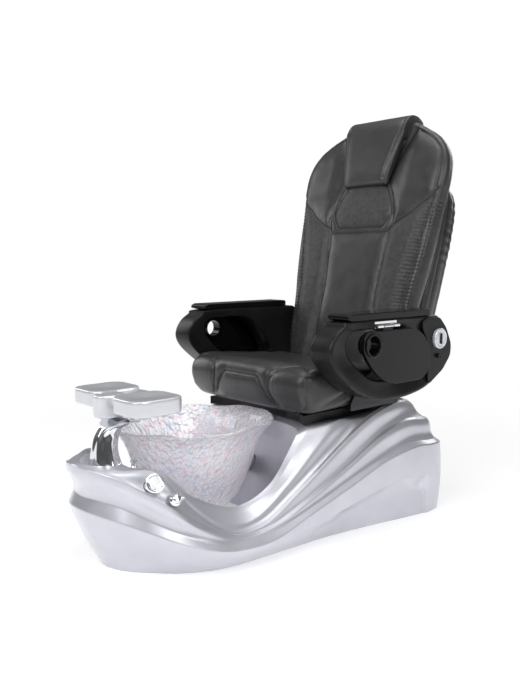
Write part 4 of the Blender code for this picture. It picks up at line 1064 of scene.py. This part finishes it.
def back_surface(name, stations, rear_of, count, corner):
    """Closed rows up the back: a rounded outline at each height, as fine as the seam lines need."""
    rows = []
    heights = np.arange(stations[0, 0], stations[-1, 0], 0.0042)
    table = curve(stations, 8)
    for height in heights:
        half = np.interp(height, table[:, 0], table[:, 1])
        front = np.interp(height, table[:, 0], table[:, 2])
        rear = rear_of(height)
        outline = [(0, rear), (-half * 0.96, rear), (-half, front), (half, front), (half * 0.96, rear)]
        outline = rounded(outline, min(corner, half * 0.4, (rear - front) * 0.42), 8)
        ring = resampled(np.vstack([outline, outline[:1]]), count + 1, False)[:count]
        rows.append(back_place(np.c_[ring, np.full(count, height)]))
    return ringed(name, rows, [LEATHER, EMBOSSED], caps=6)


def back_cushion():
    cushion = back_surface("back_upholstery", BACK_WIDTHS, lambda h: CUSHION_DEPTH - 0.002, 300, 0.034)
    pairs = (OUTER_PLEAT, PANEL_EDGE, WING_LOW, WING_INNER, HEX_EDGE, WING_TOP, BORDER)
    lines = [half for pair in pairs for half in both_sides(pair)] + [HEX_LOW, PANEL_TOP]

    def edges(height):
        """Half widths of the outer pleat and of the middle panel at each height."""
        return [np.interp(height, line[:, 1], line[:, 0]) for line in (OUTER_PLEAT, PANEL_EDGE)]

    def extra(points):
        x, depth, height = back_local(points)
        across = np.abs(x)
        forward = 1 - ease(depth, 0.020, 0.050)
        edge, inner = edges(height)
        low = 1 - ease(height, 0.60, 0.70)
        inside = edge - across
        gathers = np.sin(2 * math.pi * height / 0.0135 + 1.5 * np.sin(height * 23) + 0.8 * np.sign(x))
        fade = np.exp(-np.abs(inside) / 0.016) * ease(np.abs(inside), 0.0015, 0.005)
        lift = 0.0026 * gathers * fade * (1 - ease(height, 0.66, 0.72))
        lift += 0.0090 * (ease(inside, 0.0, 0.045) * ease(across - inner, 0.0, 0.035) * low)
        lift -= 0.0040 * ease(-inside, 0.0, 0.010) * low
        wedge_edge = np.interp(height, [0.746, 0.82, 0.895, 0.955], [0.106, 0.125, 0.152, 0.178])
        lift -= 0.0110 * ease(wedge_edge - across, 0.001, 0.010) * ease(height, 0.744, 0.760)
        wing = ease(across - 0.15, 0.0, 0.05) * ease(height, 0.66, 0.74) * (1 - ease(height, 0.86, 0.96))
        lift += 0.0050 * wing
        return lift * forward - 0.004 * (1 - forward) * ease(depth, 0.05, 0.08)

    upholster(cushion, [back_line(line) for line in lines], 0.0075, extra=extra)
    points, _ = vertex_arrays(cushion)
    x, depth, height = back_local(points)
    across = np.abs(x)
    edge, inner = edges(height)
    hex_edge = np.interp(height, [0.578, 0.640, 0.746], [0.108, 0.138, 0.092])
    wing_low = np.interp(across, [0.144, 0.235, 0.274, 0.336], [0.567, 0.625, 0.660, 0.712])
    bolster = (across > inner) & (across < edge) & (height < wing_low)
    hexagon = (across < hex_edge) & (height > 0.578) & (height < 0.746)
    grained = (bolster | hexagon) & (depth < 0.045)
    owners = [int(grained[list(face.vertices)].all()) for face in cushion.data.polygons]
    cushion.data.polygons.foreach_set("material_index", owners)
    stands_for(cushion, "back_cushion")


HEADREST_WIDTHS = mm([(742, 950), (100, 140)])  # heights, and the half widths there


def headrest():
    """Flap pillow that wraps the top of the back."""
    profile = mm([
        (-6, 742), (-22, 750), (-28, 790), (-24, 850), (-8, 960), (18, 1005), (58, 1016), (93, 1005),
        (90, 996), (60, 994.5), (36, 992.5), (18, 960), (10.5, 910), (3, 850), (-1.5, 780),
    ])
    ring = resampled(curve(profile, 6, closed=True), 200, True)
    half = np.interp(ring[:, 1], *HEADREST_WIDTHS)
    rows = []
    for t in np.linspace(-1, 1, 70):
        pinch = 1 - 0.35 * ease(abs(t), 0.86, 1.0)
        depth = np.where(ring[:, 1] < 0.95, (ring[:, 0] - 0.004) * pinch + 0.004, ring[:, 0])
        rows.append(back_place(np.c_[half * t, depth, ring[:, 1]]))
    pillow = ringed("headrest_upholstery", rows, LEATHER, caps=5)
    inset = 0.012
    heights = np.linspace(0.758, 0.985, 20)
    side = np.interp(heights, *HEADREST_WIDTHS) - inset
    front = np.interp(heights, profile[:6, 1], profile[:6, 0]) - 0.006
    lines = [back_place(line) for line in both_sides(np.c_[side, front, heights])]
    upholster(pillow, lines, 0.0035, reach=0.010, groove=0.0022, width=0.0022, creases=0.0008)
    stands_for(pillow, "headrest_pillow")


def back_shell():
    stations = mm([  # height, half width in front, front depth
        (50, 250, 95.5), (120, 268, 95.5), (300, 284, 95.5), (560, 296, 95.5), (700, 292, 95.5),
        (760, 266, 95.5), (800, 204, 95.5),
    ])
    rears = mm([(50, 150), (120, 203), (300, 212), (560, 215), (700, 212), (760, 193), (800, 152)])
    table = curve(rears, 8)

    def rear_of(height):
        return np.interp(height, table[:, 0], table[:, 1])

    shell = back_surface("rear_upholstery", stations, rear_of, 200, 0.040)
    levels = np.linspace(0.07, 0.76, 40)
    half = np.interp(levels, stations[:, 0], stations[:, 1])
    lines = []
    for share in (0.36, 0.72):
        depth = CUSHION_DEPTH + (rear_of(levels) - CUSHION_DEPTH) * share
        lines += [back_place(line) for line in both_sides(np.c_[half, depth, levels])]
    for level in (0.20, 0.72):
        lines.append(back_place([(x, 0.25, level) for x in np.linspace(-0.22, 0.22, 12)]))

    def extra(points):
        x, depth, height = back_local(points)
        fold = ease(height, 0.44, 0.50) * (1 - ease(height, 0.70, 0.76)) * ease(depth, 0.13, 0.17)
        return 0.0009 * np.sin(height * 2 * math.pi / 0.034 + 6 * x) * fold

    upholster(shell, lines, 0.0040, reach=0.014, groove=0.0030, extra=extra)
    stands_for(shell, "back_shell")


SEAT_PROFILE = mm([  # y, z of the middle section, from the bottom of the front round the top
    (10, 431), (-30, 433), (-52, 454), (-66, 500), (-62, 535), (-44, 556), (-10, 566), (60, 564),
    (150, 556), (240, 548), (350, 542), (367, 530), (367, 442), (352, 431), (200, 431),
])
SEAT_HALF_WIDTH = 0.298


def seat_cushion():
    """Thick front roll with a stitched trapezoid in it, between two shaped side pieces."""
    ring = resampled(curve(SEAT_PROFILE, 8, closed=True), 260, True)
    middle = np.array([0.16, 0.495])
    rows = []
    for t in np.linspace(-1, 1, 130):
        rounding = 0.030 * (1 - math.sqrt(max(1 - max((abs(t) - 0.90) / 0.10, 0) ** 2, 0)))
        bow = 0.012 * abs(t) ** 3 * ease(0.06 - ring[:, 0], 0, 0.10)
        inward = unit(middle - ring) * np.array([1.0, 0.8])
        section = ring + inward * rounding
        half = SEAT_HALF_WIDTH - 0.013 * ease(0.47 - section[:, 1], 0, 0.05)
        half -= 0.036 * ease(section[:, 0], 0.292, 0.302)
        rows.append(place(np.c_[half * t, section[:, 0] + bow, section[:, 1]]))
    cushion = ringed("seat_upholstery", rows, [LEATHER, EMBOSSED], caps=6)
    trapezoid = mm([
        (80, -75, 537), (100, -75, 510), (120, -75, 480), (140, -75, 445), (155, -75, 428),
    ])
    outer = mm([
        (235, 300, 580), (228, 120, 590), (210, 30, 600), (185, -20, 590), (156, -60, 560),
        (141, -75, 520), (143, -75, 485), (150, -75, 460), (168, -60, 430),
    ])
    corner = mm([
        (250, 0, 590), (278, -30, 568), (296, -42, 545), (300, -50, 500), (300, -50, 450), (284, -50, 424),
    ])
    side = mm([(306, -30, 552), (306, 60, 552), (306, 180, 540), (306, 300, 530)])
    lines = [mm([(-80, -75, 537), (80, -75, 537)])]
    for line in (trapezoid, outer, corner, side):
        lines += both_sides(line)
    lines = [place(curve(line, 5) if len(line) > 2 else line) for line in lines]

    def extra(points):
        x, y, z = (points - SHIFT).T
        across = np.abs(x)
        roll = ease(0.05 - y, 0, 0.06) * (1 - ease(across, 0.12, 0.16)) * ease(z, 0.52, 0.55)
        folds = np.sin(2 * math.pi * across / 0.017 + 9 * z) * np.exp(-((across - 0.150) / 0.020) ** 2)
        dish = np.exp(-((across / 0.16) ** 2)) * ease(y, 0.02, 0.12) * ease(z, 0.52, 0.545)
        return 0.003 * roll + 0.0010 * folds * ease(-0.02 - y, 0, 0.03) - 0.006 * dish

    upholster(cushion, lines, 0.0070, reach=0.016, groove=0.0040, width=0.0028, extra=extra)
    stands_for(cushion, "seat_cushion")


# Armrests, trays and controls.
ARM_INNER_X, ARM_OUTER_X = 0.310, 0.400
TRAY_INNER_X, TRAY_OUTER_X = 0.4045, 0.4200
CUP_YZ = (0.126, 0.646)
DIAL_YZ = (0.493, 0.642)
ARM_OUTLINE = mm([  # y, z from the front of the top round the front and the underside
    (60, 723.5), (12, 708), (-30, 678), (-50, 635), (-34, 593), (20, 543), (90, 495), (175, 462),
    (260, 455), (350, 459), (443, 478), (530, 525), (578, 575), (580, 620), (545, 680), (500, 720),
    (455, 723.5),
])
ARM_OPENING = mm([
    (75, 693), (40, 682), (27, 657), (45, 615), (100, 565), (170, 530), (300, 525), (360, 545), (345, 585),
    (310, 632), (270, 670), (210, 693),
])
TRAY_OUTLINE = mm([
    (98, 690), (340, 690), (386, 668), (413, 638), (432, 593), (424, 545), (396, 517), (360, 512),
    (235, 512), (183, 529), (138, 558), (104, 595), (80, 630), (82, 670),
])


def by_angle(outline, centre, count):
    """The outline's points at even angles about the centre."""
    fine = resampled(curve(outline, 8, closed=True), 1200, True)
    angles = np.unwrap(np.arctan2(fine[:, 1] - centre[1], fine[:, 0] - centre[0]))
    if angles[-1] < angles[0]:
        fine, angles = fine[::-1], angles[::-1]
    wanted = angles[0] + np.mod(full_turn(count) - angles[0], 2 * math.pi)
    wrapped = np.append(angles, angles[0] + 2 * math.pi)
    fine = np.vstack([fine, fine[:1]])
    return np.c_[np.interp(wanted, wrapped, fine[:, 0]), np.interp(wanted, wrapped, fine[:, 1])]


def armrest(name, side):
    count = 220
    centre = (0.200, 0.605)
    outer, inner = by_angle(ARM_OUTLINE, centre, count), by_angle(ARM_OPENING, centre, count)
    wide = np.linalg.norm(outer - inner, axis=1)
    sunk = np.clip((wide - 0.040) * 0.22, 0, 0.011)
    section = (  # share of the way from the outline to the opening, x, how much of the sunk face
        (0.10, 0.3100, 0), (0.02, 0.3125, 0), (0.0, 0.3200, 0), (0.0, 0.3550, 0), (0.0, 0.3880, 0),
        (0.015, 0.3960, 0), (0.07, 0.3990, 0), (0.16, 0.4000, 0.05), (0.40, 0.4000, 0.5),
        (0.70, 0.4000, 0.9), (0.86, 0.4000, 1.0), (0.93, 0.3992, 0.9), (0.985, 0.3965, 0.9),
        (1.0, 0.3900, 0.9), (1.0, 0.3550, 0), (1.0, 0.3200, 0), (0.98, 0.3125, 0), (0.92, 0.3100, 0),
        (0.5, 0.3100, 0),
    )
    rows = []
    for share, x, deep in section:
        across = outer + (inner - outer) * share
        rows.append(place(np.c_[(x - sunk * deep) * side, across]))
    body = ringed(f"arm_body_{name}", rows, MATTE)
    stands_for(crisp(body, 50), f"armrest_{name}")
    plate = mm([(46, 724), (28, 729.5), (29, 740), (44, 746.2), (444, 747), (450, 742), (450, 724)])
    plate = rounded(plate, 0.004)
    top = slab(f"arm_plate_{name}", plate, ARM_INNER_X + 0.002, ARM_OUTER_X, GLOSS, 0.0028, side, 4)
    stands_for(top, f"arm_top_{name}")
    cover = mm([
        (436, 719), (500, 716), (540, 678), (572, 619), (570, 578), (526, 530), (443, 484), (436, 520),
        (444, 590), (424, 650), (402, 680), (402, 704),
    ])
    low, high = ARM_OUTER_X + 0.0003, ARM_OUTER_X + 0.006
    panel = slab(f"rear_cover_{name}", rounded(cover, 0.016), low, high, MATTE, 0.002, side)
    stands_for(panel, f"arm_cover_{name}")
    outline = rounded(TRAY_OUTLINE, 0.020)
    tray = slab(f"tray_panel_{name}", outline, TRAY_INNER_X, TRAY_OUTER_X, GLOSS, 0, side)
    cup_y, cup_z = CUP_YZ
    cut(tray, bore((0, cup_y, cup_z), (side, 0, 0), 0.38, 0.44, 0.0345, 64))
    crisp(tray, 32, 0.0030, 4)
    hinge = place((0.4125 * side, 0.182, 0.704))
    knuckle = turned("tray_knuckle", hinge, (0, 1, 0), rod(6, 46), CHROME, 32)
    web = mm([(182, 684), (228, 684), (228, 702), (182, 702)])
    web = slab("tray_web", web, 0.4100, 0.4150, GLOSS, 0.001, side)
    stands_for(merged(f"drop_tray_{name}", tray, knuckle, web), f"tray_{name}")
    cup = mm([(30, 0), (34, 0), (34, 36.5), (38.5, 36.8), (38.5, 40), (36, 41.2), (31.5, 40.8), (30, 39)])
    start = place((0.3840 * side, cup_y, cup_z))
    ring = turned(f"cup_rim_{name}", start, (side, 0, 0), cup, GLOSS, 96, True)
    stands_for(ring, f"cup_ring_{name}")


def controls():
    """Silver dial with a grip across it, and the push button under it."""
    y, z = DIAL_YZ
    start = ARM_OUTER_X + 0.0064
    centre = place((start, y, z))
    face = mm([
        (0, 0), (35.5, 0), (35.5, 9.5), (33.5, 12), (30.5, 12), (29.5, 9.5), (20, 9), (19, 9.8), (0, 9.8),
    ])
    parts = [turned("dial_face", centre, (1, 0, 0), face, SILVER, 96, soft=0.0010)]
    corners = ((-0.0055, -0.0185), (0.0055, -0.0185), (0.0045, 0.0185), (-0.0045, 0.0185))
    grip = rounded([(y + along, z + up) for along, up in corners], 0.004)
    parts.append(slab("dial_grip", grip, start + 0.006, start + 0.0140, GLOSS, 0.0012))
    for k in range(11):
        turn = math.radians(-150 + 30 * k)
        at = (y + 0.0250 * math.sin(turn), z + 0.0250 * math.cos(turn))
        spot = place((start + 0.0085, *at))
        parts.append(turned("dial_dot", spot, (1, 0, 0), rod(1.1, 1), GLOSS, 12))
    stands_for(merged("settings_dial", *parts), "control_dial")
    button = mm([(0, 0), (8.5, 0), (8.5, 5.5), (7, 8), (3.5, 7.4), (0, 7)])
    cap = turned("button_cap", place((start + 0.0025, y - 0.002, z - 0.060)), (1, 0, 0), button, GLOSS, 48)
    stands_for(cap, "call_button")


for cad_name, cad_piece in frame["nodes"].items():
    paint(cad_piece, SLOT_FINISH[SLOT_OF[cad_name]])
camera()
studio()
base_shell()
bowl()
drain()
jet()
water_controls()
footrest()
footrest_stand()
seat_cushion()
back_cushion()
headrest()
back_shell()
for arm_name, arm_side in SIDES:
    armrest(arm_name, arm_side)
controls()
